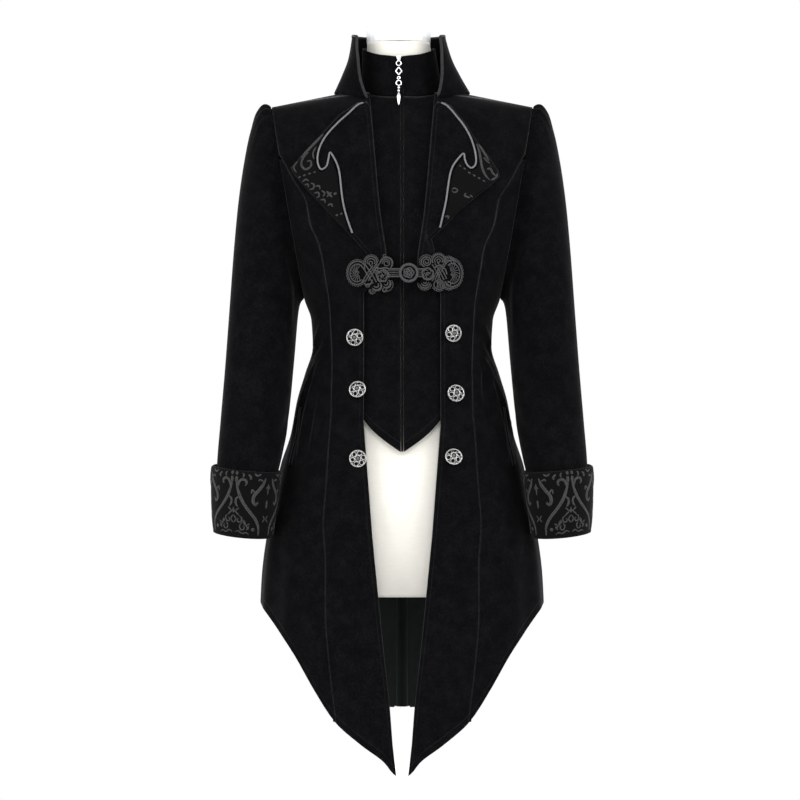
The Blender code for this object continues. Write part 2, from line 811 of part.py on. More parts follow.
sheet("stand_collar", STAND_SIDES, STAND_ROWS, stand_point, CLOTH, VELVET)


# Lapels: a flat cut shape laid on the front, with a damask piece outside the piped line
def rounded(points, step):
    """A smooth line through hand-set points."""
    line = []
    ends = [points[0]] + list(points) + [points[-1]]
    for i in range(1, len(ends) - 2):
        p0, p1, p2, p3 = (Vector(p) for p in ends[i - 1:i + 3])
        parts = max(1, round((p2 - p1).length / step))
        for k in range(parts):
            s = k / parts
            line.append(0.5 * (2 * p1 + (p2 - p0) * s + (2 * p0 - 5 * p1 + 4 * p2 - p3) * s * s
                               + (3 * p1 - p0 - 3 * p2 + p3) * s ** 3))
    line.append(Vector(points[-1]))
    return line


def laid(name, outline, lift_of, wall, finish, side):
    """A cut shape laid over the front: its outline is divided into cells, then bent to the body."""
    bm = bmesh.new()
    bm.faces.new([bm.verts.new((x, 0, z)) for x, z in outline])
    for axis, way in ((0, Vector((1, 0, 0))), (2, Vector((0, 0, 1)))):
        low = min(point.co[axis] for point in bm.verts)
        high = max(point.co[axis] for point in bm.verts)
        for k in range(1, int((high - low) / LAPEL_CELL) + 1):
            bmesh.ops.bisect_plane(bm, geom=bm.verts[:] + bm.edges[:] + bm.faces[:], dist=0.4,
                                   plane_co=way * (low + k * LAPEL_CELL), plane_no=way)
    bmesh.ops.remove_doubles(bm, verts=bm.verts, dist=0.5)
    bmesh.ops.triangulate(bm, faces=bm.faces)
    for point in bm.verts:
        x, z = point.co.x, point.co.z
        point.co = on_front(x * side, z, lift_of(x, z)) * MM
    return thicken(add(name, mesh_of(bm, name), finish), wall)


def lapel_lift(x, z):
    """The lapel springs off the front a little towards its point."""
    low = shared_height(x, z)
    return LAPEL_LIFT + LAPEL_SPRING * ease((x - front_edge(low)) / 110)


def damask_lift(x, z):
    return lapel_lift(x, z) + CLOTH / 2 + DAMASK / 2 + DAMASK_GAP


# The lapel's fold follows the front edge, a little outside it
lapel_fold = [(front_edge(shared_height(30, z)) + 1.2, z) for z in (985, 1020, 1060, 1110, 1160, 1200)]
for label, side in (("left", -1), ("right", 1)):
    damask_outline = rounded(DAMASK_INNER[label], 7.0) + [Vector(p) for p in DAMASK_OUTER[label]]
    laid(f"lapel_{label}", list(LAPEL_EDGE[label]) + lapel_fold, lapel_lift, CLOTH, VELVET, side)
    laid(f"lapel_damask_{label}", damask_outline, damask_lift, DAMASK, BROCADE, side)


# Piping: a covered cord along the edge of the damask
def cord(name, points, radius, finish):
    line = bpy.data.curves.new(name, "CURVE")
    line.dimensions = "3D"
    line.bevel_depth = radius * MM
    line.bevel_resolution = 1
    line.use_fill_caps = True
    run = line.splines.new("POLY")
    run.points.add(len(points) - 1)
    for knot, point in zip(run.points, points):
        knot.co = (*(point * MM), 1.0)
    piece = bpy.data.objects.new(name, line)
    coat.objects.link(piece)
    line.materials.append(material(finish))
    return piece


PIPING_LIFT = CLOTH / 2 + PIPING_RADIUS + PIPING_GAP
for label, side in (("left", -1), ("right", 1)):
    cord(f"piping_{label}", [on_front(p.x * side, p.y, lapel_lift(p.x, p.y) + PIPING_LIFT)
                             for p in rounded(PIPING_PATH[label], 9.0)], PIPING_RADIUS, VELVET)


# Waistcoat fronts, under the coat's fronts, open at the zip
vest_hem = curve_through(VEST_HEM)


def vest_x(share, z):
    return between(ZIP_HALF / 2, vest_wide(z), share)


def vest_top(share):
    half = VEST_NECK[0]
    x = vest_x(share, SHOULDER_Z)
    if x >= half:
        return SHOULDER_Z
    return hole_height(VEST_NECK, math.degrees(math.asin(x / half)))[0]


VEST_ROWS = tuple(z for z in BODY_ROWS if z > VEST_HEM[-1][1])
for label, side in (("left", -1), ("right", 1)):
    panel(f"waistcoat_{label}", side, VEST_COLUMNS, lambda share, z: turn_at(vest_x(share, z), z), VEST_ROWS,
          lambda share: vest_hem(vest_x(share, ARMPIT_Z)), vest_top, VEST_LIFT)

# Zip: its tape fills the opening, and the slider sits at the top in front of it
zip_foot = stand_point(STAND_SIDES, 0)
zip_head = stand_point(STAND_SIDES, STAND_ROWS)


def tape_point(column, row):
    across = TAPE_HALF * (2 * column - 1)
    low_rows = ZIP_ROWS - ZIP_NECK_ROWS
    if row <= low_rows:
        point = on_coat(0.0, between(ZIP_BOTTOM_Z, vest_top(0.0), row / low_rows), VEST_LIFT)
        return Vector((across, point.y, point.z))
    share = (row - low_rows) / ZIP_NECK_ROWS
    point = zip_foot.lerp(zip_head, share)
    return Vector((across + NECK_LEAN * share, point.y, point.z))


sheet("zip_tape", 1, ZIP_ROWS, tape_point, CLOTH, TAPE)


def at_height(z):
    """The place in front of the stand collar at the zip."""
    share = (z - zip_foot.z) / (zip_head.z - zip_foot.z)
    point = zip_foot.lerp(zip_head, share)
    return Vector((NECK_LEAN * share, point.y - CLOTH / 2, z))


slider_at = at_height(SLIDER_Z) + Vector((0, -SLIDER_SIZE[1] / 2 - PULL_GAP, 0))
bm = bmesh.new()
bmesh.ops.create_cube(bm, size=1.0)
bmesh.ops.scale(bm, verts=bm.verts, vec=Vector(SLIDER_SIZE) * MM)
slider = add("zip_slider", mesh_of(bm, "zip_slider"), SILVER, at=slider_at * MM)
slider_bevel = slider.modifiers.new("edges", "BEVEL")
slider_bevel.width = SLIDER_EDGE * MM
slider_bevel.segments = 1

# The pull hangs from a hinge in front of the slider and lies on the cloth, so it leans forward
PULL_LEAN = 13.0
hinge_at = slider_at + Vector((0, -SLIDER_SIZE[1] / 2 - PULL_LINKS[0][2] - PULL_GAP, 1.0 - SLIDER_SIZE[2] / 2))
hinge = bpy.data.objects.new("zip_pull_hinge", None)
coat.objects.link(hinge)
hinge.location = hinge_at * MM
hinge.rotation_euler = (math.radians(-PULL_LEAN), 0, 0)


def ring(name, centre, major, minor, finish, parent, sides):
    """A wire ring that faces the front."""
    bpy.ops.mesh.primitive_torus_add(major_radius=major * MM, minor_radius=minor * MM,
                                     major_segments=sides, minor_segments=6)
    made = bpy.context.object
    mesh = made.data
    mesh.transform(Matrix.Rotation(math.radians(90), 4, "X"))
    mesh.name = name
    mesh.shade_smooth()
    bpy.data.objects.remove(made)
    return add(name, mesh, finish, at=centre * MM, parent=parent)


# The hinge runs through the wire of the top ring, and each link hangs just under the one before
down = PULL_LINKS[0][2]
for name, major, minor, sides in PULL_LINKS:
    ring(name, Vector((0, 0, down - major - minor)), major, minor, SILVER, hinge, sides)
    down -= 2 * (major + minor) + PULL_GAP
for number in (1, 2):
    bm = bmesh.new()
    bmesh.ops.create_uvsphere(bm, u_segments=10, v_segments=6, radius=BEAD_RADIUS * MM)
    add(f"zip_pull_bead_{number}", mesh_of(bm, f"bead_{number}"), SILVER,
        at=Vector((0, 0, down - BEAD_RADIUS)) * MM, parent=hinge)
    down -= 2 * BEAD_RADIUS + PULL_GAP


def turned(name, outline, finish, at, sides, way=None, parent=None):
    """A shape turned about its own Z axis, then set along way."""
    bm = bmesh.new()
    knots = [bm.verts.new((x * MM, 0, z * MM)) for x, z in outline]
    for first, second in zip(knots, knots[1:]):
        bm.edges.new((first, second))
    piece = add(name, mesh_of(bm, name), finish, at=at * MM, turned=way, parent=parent)
    screw = piece.modifiers.new("turn", "SCREW")
    screw.steps = sides
    screw.render_steps = sides
    screw.use_merge_vertices = True
    screw.merge_threshold = 0.00001
    return piece


turned("zip_pull_drop", DROP_TURN, SILVER, Vector((0, 0, down - DROP_TURN[0][1])), 12, parent=hinge)


# Frog: two corded lobes, raised over a plain back, with a ring and a knot between them
def exit_distance(rounds, centre, way):
    """How far out of the centre the last of the rounds reaches, along a way."""
    far = 0.0
    for x, z, radius, _ in rounds:
        to = Vector((x, z)) - centre
        along = to.dot(way)
        off = to.length_squared - along * along
        if off < radius * radius:
            far = max(far, along + math.sqrt(radius * radius - off))
    return far


def frog_height(rounds, spot):
    high = 0.0
    for x, z, radius, top in rounds:
        share = (spot - Vector((x, z))).length / radius
        if share < 1:
            high = max(high, top * (1 - abs(share - 0.5) ** 2 * 2.6))
    return FROG_BASE + high


FROG_SPOKES = 32
FROG_RINGS = 5


def frog(name, rounds):
    centre = Vector(rounds[0][:2])

    def spot(column, row):
        way = Vector((math.cos(2 * math.pi * column / FROG_SPOKES), math.sin(2 * math.pi * column / FROG_SPOKES)))
        return centre + way * exit_distance(rounds, centre, way) * row / FROG_RINGS

    bm = grid(FROG_SPOKES, FROG_RINGS, lambda column, row: Vector((*spot(column, row), 0)))
    bmesh.ops.remove_doubles(bm, verts=bm.verts, dist=0.000001)
    plain = set(bm.verts)
    bmesh.ops.extrude_face_region(bm, geom=bm.faces[:], use_keep_orig=True)
    for point in bm.verts:
        flat = Vector((point.co.x, point.co.y)) / MM
        lift = FROG_LIFT - FROG_BASE
        if point not in plain:
            rim = 1.0 if any(edge.is_boundary for edge in point.link_edges) else 0.0
            lift += frog_height(rounds, flat) * (1 - 0.4 * rim)
        point.co = on_front(flat.x, flat.y, lift) * MM
    bmesh.ops.recalc_face_normals(bm, faces=bm.faces)
    add(name, mesh_of(bm, name), CORDING)


frog("frog_left", FROG_LEFT)
frog("frog_right", FROG_RIGHT)
ring_x, ring_z, ring_major, ring_minor = FROG_RING
ring_middle = on_front(ring_x, ring_z, FROG_LIFT + ring_minor)
ring("frog_ring", ring_middle, ring_major, ring_minor, CORDING, None, 18)
turned("frog_knot", KNOT_TURN, CORDING, ring_middle, 12, way=Matrix.Rotation(math.radians(90), 3, "X"))

# Buttons, sewn on by their shanks and a little askew
for name, x, z, aside, upward, lift in BUTTONS:
    way = front_way_out(x, z).to_track_quat("Z", "Y").to_matrix()
    askew = Matrix.Rotation(math.radians(aside), 3, "Y") @ Matrix.Rotation(math.radians(upward), 3, "X")
    turned(name, BUTTON_TURN, SILVER, on_front(x, z, lift), BUTTON_SIDES, way=way @ askew)

# Pocket welts
for label, side in (("left", -1), ("right", 1)):
    def welt_point(column, row, side=side):
        share = row / POCKET_ROWS
        turn = between(POCKET[0][0], POCKET[1][0], share) + (column * 2 - 1) * POCKET_HALF_TURN
        return on_coat(turn, between(POCKET[0][1], POCKET[1][1], share), POCKET_LIFT, side)
    sheet(f"pocket_welt_{label}", 2, POCKET_ROWS, welt_point, CLOTH, VELVET)


# Dress form: torso, neck cap, pole and base
def form_point(column, row):
    z, half, front, back, lean = FORM[row]
    turn = 2 * math.pi * column / FORM_SIDES
    sine, cosine = math.sin(turn), math.cos(turn)
    x = half * math.copysign(abs(sine) ** SQUARE, sine)
    y = -(front if cosine > 0 else back) * math.copysign(abs(cosine) ** SQUARE, cosine)
    return Vector((x + lean, SIDE_Y + y, z))


bm = grid(FORM_SIDES, len(FORM) - 1, form_point)
bmesh.ops.remove_doubles(bm, verts=bm.verts, dist=0.000001)
bmesh.ops.holes_fill(bm, edges=[edge for edge in bm.edges if edge.is_boundary], sides=0)
bmesh.ops.recalc_face_normals(bm, faces=bm.faces)
add("form_torso", mesh_of(bm, "form_torso"), LINEN)

neck_top = FORM[-1][0]
cap_height = CAP_TOP_Z - neck_top - FORM_GAP
cap_turn = ((0, cap_height), (CAP_RADIUS - 4, cap_height), (CAP_RADIUS - 1, cap_height - 1.2),
            (CAP_RADIUS, cap_height - 4), (CAP_RADIUS, 0), (0, 0))
turned("form_cap", cap_turn, CAP_PAINT, Vector((NECK_LEAN, SIDE_Y, neck_top + FORM_GAP)), FORM_SIDES)


def pole(name, radius, low, high, finish):
    turned(name, ((0, high - low), (radius, high - low), (radius, 0), (0, 0)), finish,
           Vector((0, SIDE_Y, low)), POLE_SIDES)


base_top = BASE_TURN[0][1]
pole("pole_upper", POLE_UPPER_RADIUS, POLE_JOIN_Z + FORM_GAP, FORM[0][0] - FORM_GAP, BLACK_STEEL)
pole("pole_lower", POLE_LOWER_RADIUS, base_top + FORM_GAP, POLE_JOIN_Z, WHITE_STEEL)
turned("base", BASE_TURN, WHITE_STEEL, Vector((0, SIDE_Y, 0)), 36)
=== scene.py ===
"""The looks of a gothic tailcoat in black velvet, worn on a limbless dress form.

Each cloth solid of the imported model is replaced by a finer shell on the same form, with its folds, seams, weave
and trimmings. The coat faces -Y and +Z is up. Tables are in millimetres, and MM turns them to metres.
Left and right are the viewer's, so left is -X.
"""

import math

import bmesh
import bpy
import numpy as np
from mathutils import Matrix, Vector


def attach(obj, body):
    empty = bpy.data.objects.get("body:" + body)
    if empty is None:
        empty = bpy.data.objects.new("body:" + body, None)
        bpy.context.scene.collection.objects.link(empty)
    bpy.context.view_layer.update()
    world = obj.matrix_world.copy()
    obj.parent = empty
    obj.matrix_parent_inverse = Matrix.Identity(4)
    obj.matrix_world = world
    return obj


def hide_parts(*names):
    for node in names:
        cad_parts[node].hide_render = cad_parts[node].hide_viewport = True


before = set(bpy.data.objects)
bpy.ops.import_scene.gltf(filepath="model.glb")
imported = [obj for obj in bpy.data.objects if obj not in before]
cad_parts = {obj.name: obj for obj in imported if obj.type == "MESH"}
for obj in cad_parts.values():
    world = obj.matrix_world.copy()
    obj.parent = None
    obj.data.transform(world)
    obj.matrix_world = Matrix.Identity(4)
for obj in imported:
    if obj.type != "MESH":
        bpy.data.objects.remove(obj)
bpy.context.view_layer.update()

# The studio: a pale round floor in a white room, with the camera straight in front at half height.
# Two broad soft lights stand at the sides and one hangs over the front, as for a catalogue picture.
MM = 0.001
FLOOR_RADIUS = 1.8
CAMERA_AT = (-0.003, -5.0, 0.7925)
LENS = 158.5
LIT_POINT = Vector((0, 0, 0.8))
SOFT_LIGHTS = (
    ("side_light_left", (-2.4, -1.3, 1.5), (1.4, 2.4), 46.0),
    ("side_light_right", (2.4, -1.3, 1.5), (1.4, 2.4), 46.0),
    ("front_light", (0.0, -3.4, 3.0), (2.4, 1.2), 60.0),
    ("back_light", (0.0, 2.8, 2.6), (2.6, 1.4), 40.0),
)

camera = bpy.data.objects.new("camera", bpy.data.cameras.new("camera"))
bpy.context.scene.collection.objects.link(camera)
camera.location = CAMERA_AT
camera.rotation_euler = (math.radians(90), 0, 0)
camera.data.sensor_width = 36.0
camera.data.lens = LENS
bpy.context.scene.camera = camera
bpy.context.scene.view_settings.view_transform = "Standard"

world = bpy.data.worlds.new("white_room")
bpy.context.scene.world = world
world.use_nodes = True
world.node_tree.nodes["Background"].inputs["Color"].default_value = (1.0, 1.0, 1.0, 1.0)
world.node_tree.nodes["Background"].inputs["Strength"].default_value = 1.0

for name, at, size, power in SOFT_LIGHTS:
    lamp = bpy.data.lights.new(name, "AREA")
    lamp.shape = "RECTANGLE"
    lamp.size, lamp.size_y = size
    lamp.energy = power
    stand = bpy.data.objects.new(name, lamp)
    bpy.context.scene.collection.objects.link(stand)
    stand.location = at
    stand.rotation_euler = (LIT_POINT - Vector(at)).to_track_quat("-Z", "Y").to_euler()


class Wire:
    """A node's output, used as a number in a formula, so that shader maths reads as Python."""

    def __init__(self, finish, socket):
        self.finish = finish
        self.socket = socket

    def maths(self, operation, *values):
        return self.finish.node("Math", {"operation": operation}, dict(enumerate(values)))

    def __add__(self, other):
        return self.maths("ADD", self, other)

    def __sub__(self, other):
        return self.maths("SUBTRACT", self, other)

    def __rsub__(self, other):
        return self.maths("SUBTRACT", other, self)

    def __mul__(self, other):
        return self.maths("MULTIPLY", self, other)

    def __truediv__(self, other):
        return self.maths("DIVIDE", self, other)

    def __pow__(self, other):
        return self.maths("POWER", self, other)

    def __lt__(self, other):
        return self.maths("LESS_THAN", self, other)

    def __abs__(self):
        return self.maths("ABSOLUTE", self)

    __radd__ = __add__
    __rmul__ = __mul__

    def hump(self, wide):
        """1 where this is 0, falling smoothly to 0 at plus and minus wide."""
        near = self.maths("SUBTRACT", 1, abs(self) / wide)
        return self.finish.node("Clamp", {}, {0: near}) ** 2

    def wave(self):
        return self.maths("SINE", self)


class Finish:
    """A material: uniform values go straight to its shader, and node() adds whatever varies over a surface."""

    def __init__(self, name, **sockets):
        self.material = bpy.data.materials.new(name)
        self.material.use_nodes = True
        self.tree = self.material.node_tree
        self.shader = self.tree.nodes["Principled BSDF"]
        self.feed(self.shader, {key.replace("_", " "): value for key, value in sockets.items()})

    def feed(self, node, sockets):
        for place, value in sockets.items():
            if isinstance(value, Wire):
                self.tree.links.new(value.socket, node.inputs[place])
            else:
                socket = node.inputs[place]
                full = hasattr(value, "__len__") and len(value) == 3 and len(socket.default_value) == 4
                socket.default_value = (*value, 1.0) if full else value

    def node(self, kind, settings, sockets, out=0):
        made = self.tree.nodes.new("ShaderNode" + kind)
        for key, value in settings.items():
            if key == "stops":
                for place, colour in value[1:-1]:
                    made.color_ramp.elements.new(place)
                for stop, (place, colour) in zip(made.color_ramp.elements, value):
                    stop.position = place
                    stop.color = (*colour, 1.0) if len(colour) == 3 else colour
            else:
                setattr(made, key, value)
        self.feed(made, sockets)
        return Wire(self, made.outputs[out])

    def place(self):
        return self.node("TexCoord", {}, {}, out=3)

    def noise(self, scale, detail=2.0, where=None, rough=0.5):
        return self.node("TexNoise", {}, {"Vector": where or self.place(), "Scale": scale, "Detail": detail,
                                          "Roughness": rough})

    def cut(self, name):
        """The two numbers of one of a piece's own UV maps."""
        parts = self.node("UVMap", {"uv_map": name}, {})
        first = self.node("SeparateXYZ", {}, {0: parts}, out=0)
        return first, Wire(self, first.socket.node.outputs[1])

    def colours(self, share, first, second):
        return self.node("Mix", {"data_type": "RGBA"}, {0: share, 6: first, 7: second}, out=2)

    def bump(self, height, strength, distance):
        return self.node("Bump", {}, {"Height": height, "Strength": strength, "Distance": distance})

    def set(self, **sockets):
        self.feed(self.shader, {key.replace("_", " "): value for key, value in sockets.items()})


floor_paint = Finish("floor_paint", Base_Color=(0.86, 0.86, 0.86), Roughness=0.7)
floor_paint.set(Base_Color=floor_paint.colours(floor_paint.noise(3.0), (0.85, 0.85, 0.85), (0.88, 0.88, 0.87)))
bm = bmesh.new()
bmesh.ops.create_circle(bm, cap_ends=True, radius=FLOOR_RADIUS, segments=96)
floor_mesh = bpy.data.meshes.new("floor")
bm.to_mesh(floor_mesh)
bm.free()
floor = bpy.data.objects.new("floor", floor_mesh)
floor_mesh.materials.append(floor_paint.material)
bpy.context.scene.collection.objects.link(floor)

# The dress form: a padded limbless torso under off-white linen, sewn from upright panels, with a moulded neck
# cap. It stands on a dark rod that slides in a white tube, which is screwed into a pressed steel base.
COAT = "coat_and_form"
SQUARE = 0.86
# height, half width, depth in front, depth behind, sideways lean
FORM = (
    (519, 158, 119, 128, 0),
    (560, 165, 124, 132, 0),
    (640, 166, 126, 128, 0),
    (697, 160, 120, 118, 0),
    (744, 146, 111, 107, 0),
    (792, 136, 101, 95, 0),
    (829, 126, 93, 84, 0),
    (868, 116, 87, 77, 0),
    (906, 118, 92, 77, 0),
    (944, 126, 99, 81, 0),
    (1000, 136, 106, 85, 0),
    (1060, 145, 103, 86, 0),
    (1110, 147, 90, 82, 0),
    (1149.6, 138.4, 68, 68, 0),
    (1177.7, 116, 51, 55, 0),
    (1198.7, 87, 44, 49, 0),
    (1211.6, 63, 42.5, 46, -1),
    (1227, 50, 42.5, 44.5, -2),
    (1299, 45, 43, 43, -5),
)
FORM_AROUND = 120
FORM_UP = 170
# Seams of the linen, in degrees round from the front
FORM_SEAMS = (0, 38, 90, 142, 180, 218, 270, 322)


def curve_through(rows, column=1):
    """A smooth function through a table's rows that never swings past them."""
    at = [row[0] for row in rows]
    to = [row[column] for row in rows]
    slopes = [(to[i + 1] - to[i]) / (at[i + 1] - at[i]) for i in range(len(rows) - 1)]
    tangents = [slopes[0]]
    for before, after in zip(slopes, slopes[1:]):
        tangents.append(0.0 if before * after <= 0 else 2 * before * after / (before + after))
    tangents.append(slopes[-1])

    def value(where):
        if where <= at[0]:
            return to[0] + tangents[0] * (where - at[0])
        if where >= at[-1]:
            return to[-1]
        i = max(k for k in range(len(at) - 1) if at[k] <= where)
        span = at[i + 1] - at[i]
        s = (where - at[i]) / span
        bend = (s - 1) * s * ((tangents[i] * span - (to[i + 1] - to[i])) * (s - 1)
                              + (tangents[i + 1] * span - (to[i + 1] - to[i])) * s)
        return to[i] + (to[i + 1] - to[i]) * s + bend

    return value


def add(name, bm, finishes, stands_for=(), body=COAT):
    """Make a named piece of a bmesh, ride it on its body and give it its finishes."""
    mesh = bpy.data.meshes.new(name)
    bm.to_mesh(mesh)
    bm.free()
    mesh.shade_smooth()
    for finish in finishes:
        mesh.materials.append(finish.material)
    piece = bpy.data.objects.new(name, mesh)
    bpy.context.scene.collection.objects.link(piece)
    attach(piece, body)
    if stands_for:
        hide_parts(*stands_for)
    return piece


def cloth_grid(columns, rows, place, joined=False):
    """A sheet of evenly divided cloth. place gives each point, in millimetres, by its column and row."""
    bm = bmesh.new()
    bmesh.ops.create_grid(bm, x_segments=columns, y_segments=rows, size=0.5)
    for point in bm.verts:
        column = round((point.co.x + 0.5) * columns)
        row = round((point.co.y + 0.5) * rows)
        point.co = place(column, row) * MM
    if joined:
        bmesh.ops.remove_doubles(bm, verts=bm.verts, dist=0.000001)
    return bm


linen = Finish("linen", Roughness=0.9, Specular_IOR_Level=0.25, Sheen_Weight=0.25, Sheen_Roughness=0.5)
spot = linen.place()
across = linen.node("TexWave", {"wave_type": "BANDS", "bands_direction": "Z"},
                    {"Vector": spot, "Scale": 500.0, "Distortion": 1.2, "Detail": 2.0, "Detail Scale": 6.0}, out=1)
along = linen.node("TexWave", {"wave_type": "BANDS", "bands_direction": "DIAGONAL"},
                   {"Vector": spot, "Scale": 320.0, "Distortion": 1.2, "Detail": 2.0, "Detail Scale": 6.0}, out=1)
slub = linen.noise(90.0, 4.0, linen.node("Mapping", {}, {"Vector": spot, "Scale": (1.0, 1.0, 6.0)}))
linen.set(Base_Color=linen.colours(slub, (0.63, 0.61, 0.555), (0.70, 0.685, 0.635)),
          Normal=linen.bump(across * 0.5 + along * 0.5 + slub * 0.6, 0.35, 0.0006))

form_rows = [curve_through(FORM, column) for column in (1, 2, 3, 4)]


def form_point(column, row):
    z = FORM[0][0] + (FORM[-1][0] - FORM[0][0]) * row / FORM_UP
    half, front, back, lean = (value(z) for value in form_rows)
    turn = 2 * math.pi * column / FORM_AROUND
    sine, cosine = math.sin(turn), math.cos(turn)
    x = half * math.copysign(abs(sine) ** SQUARE, sine)
    y = -(front if cosine > 0 else back) * math.copysign(abs(cosine) ** SQUARE, cosine)
    sunk = 0.7 * max(math.exp(-((math.degrees(turn) - seam + 180) % 360 - 180) ** 2 / 1.2) for seam in FORM_SEAMS)
    shrink = 1 - (0.4 + sunk) / math.hypot(x, y)
    return Vector((x * shrink + lean, y * shrink, z))


bm = cloth_grid(FORM_AROUND, FORM_UP, form_point, joined=True)
bmesh.ops.holes_fill(bm, edges=[edge for edge in bm.edges if edge.is_boundary], sides=0)
for end in [face for face in bm.faces if len(face.verts) > 4]:
    bmesh.ops.inset_region(bm, faces=[end], thickness=0.003, use_even_offset=True)
bmesh.ops.recalc_face_normals(bm, faces=bm.faces)
add("linen_torso", bm, [linen], ["form_torso"])

cap_paint = Finish("cap_paint", Roughness=0.3, Coat_Weight=0.3)
cap_paint.set(Base_Color=cap_paint.colours(cap_paint.noise(8.0), (0.74, 0.75, 0.76), (0.80, 0.81, 0.82)),
              Normal=cap_paint.bump(cap_paint.noise(900.0, 1.0), 0.05, 0.0005))
black_steel = Finish("black_steel", Roughness=0.6, Specular_IOR_Level=0.03)
black_steel.set(Base_Color=black_steel.colours(black_steel.noise(30.0), (0.0026, 0.0034, 0.0032),
                                               (0.0044, 0.0054, 0.0050)),
                Normal=black_steel.bump(black_steel.noise(1400.0, 1.0), 0.15, 0.0003))
white_steel = Finish("white_steel", Roughness=0.35, Coat_Weight=0.2)
white_steel.set(Base_Color=white_steel.colours(white_steel.noise(12.0), (0.82, 0.82, 0.81), (0.88, 0.88, 0.88)),
                Normal=white_steel.bump(white_steel.noise(1100.0, 1.0), 0.12, 0.0004))
for node, finish in (("form_cap", cap_paint), ("pole_upper", black_steel),
                     ("pole_lower", white_steel), ("base", white_steel)):
    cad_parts[node].data.materials.clear()
    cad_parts[node].data.materials.append(finish.material)

# The coat's body: fronts, side fronts, side backs and backs in black cotton velvet, lined with grey-green satin.
# The panels are cut with their tails in one, flare into soft flutes at the hips and are top-stitched along the
# cutaway fronts and the slanting hem. At the waist the cloth is drawn in and breaks into small upright folds.
CLOTH = 1.7
SEAM = 0.5
SHOULDER_HALF_GAP = 0.7
ARMPIT_Z = 936.0
ARMPIT_X = 138.0
SHOULDER_Z = 1207.0
SHOULDER_X = 185.0
ARMHOLE_DEPTH = 59.0
NECK_RISE = 0.2
RISE_FROM_Z = 1080.0
# height, half width, depth in front, depth behind
BODY = (
    (200, 206, 168, 184),
    (341, 205, 166, 178),
    (430, 203, 163, 171),
    (507, 200, 158, 163),
    (545, 198, 154, 157),
    (594, 192, 148, 150),
    (650, 180, 141, 140),
    (697, 172, 134, 130),
    (744, 157, 125, 118),
    (792, 148, 114, 105),
    (829, 137, 105, 94),
    (868, 126, 98, 86),
    (906, 128, 103, 86),
    (936, 138, 110, 90),
    (980, 146, 118, 93),
    (1020, 153, 121, 95),
    (1060, 160, 118, 96),
    (1100, 167, 108, 95),
    (1130, 172, 98, 90),
    (1160, 177, 83, 80),
    (1180, 180, 67, 68),
    (1195, 183, 46, 48),
    (1203, 184, 26, 27),
    (1207, 185, 0.6, 0.6),
)
# Flutes of the skirt: degrees round from the front, half width in degrees, height at the hem
FLUTES = ((46, 8.0, 7.0), (66, 8.0, 6.0), (108, 9.0, 9.0), (130, 9.0, 8.0), (160, 9.0, 6.0))
FLUTE_TOP_Z = 850.0
FLUTE_FULL_Z = 480.0
# height, front edge's distance from the middle
FRONT_EDGE = (
    (276, 7.7), (319, 12.6), (371, 16.5), (441, 24.2), (522, 32.5), (606, 40.8), (682, 46.7), (758, 52.8),
    (943, 52.8), (967, 19.5), (996, 21.0), (1050, 29.3), (1120, 36.3), (1207, 46.5),
)
# height, princess seam's distance from the middle, in front and behind
FRONT_SEAM = (
    (276, 84), (355, 92), (403, 98), (440, 102), (502, 106), (567, 106), (619, 109), (675, 105), (725, 102),
    (784, 98), (843, 98), (896, 100), (928, 102), (961, 107), (1009, 116), (1039, 129), (1069, 134),
    (1100, 152), (1135, 171),
)
FRONT_SEAM_TOP = 1130.0
BACK_SEAM = (
    (341, 104), (440, 108), (507, 106), (600, 100), (700, 92), (800, 78), (868, 66), (936, 78), (1000, 94),
    (1040, 112), (1080, 140), (1112, 168),
)
BACK_SEAM_TOP = 1095.0
# height, how far out the cut hem is
FRONT_HEM = (
    (266, -24), (276, 8), (296, 26), (318, 56), (349, 92), (391, 120.5), (443, 151), (482, 179), (507, 200),
    (540, 240),
)
BACK_HEM = (
    (339, -60), (341, 10), (344, 84), (351, 103), (385, 126), (425, 151), (465, 177), (507, 200), (540, 240),
)
HIP_CORNER_Z = 507.0
PANEL_TOP_Z = 1130.0
# Neck hole: half width, depth in front, depth behind
NECK_HOLE = (64.0, 60.0, 68.0)
ROW_STEP = 5.0
FOLD_PARTS = 8
SHOULDER_ROWS = 18
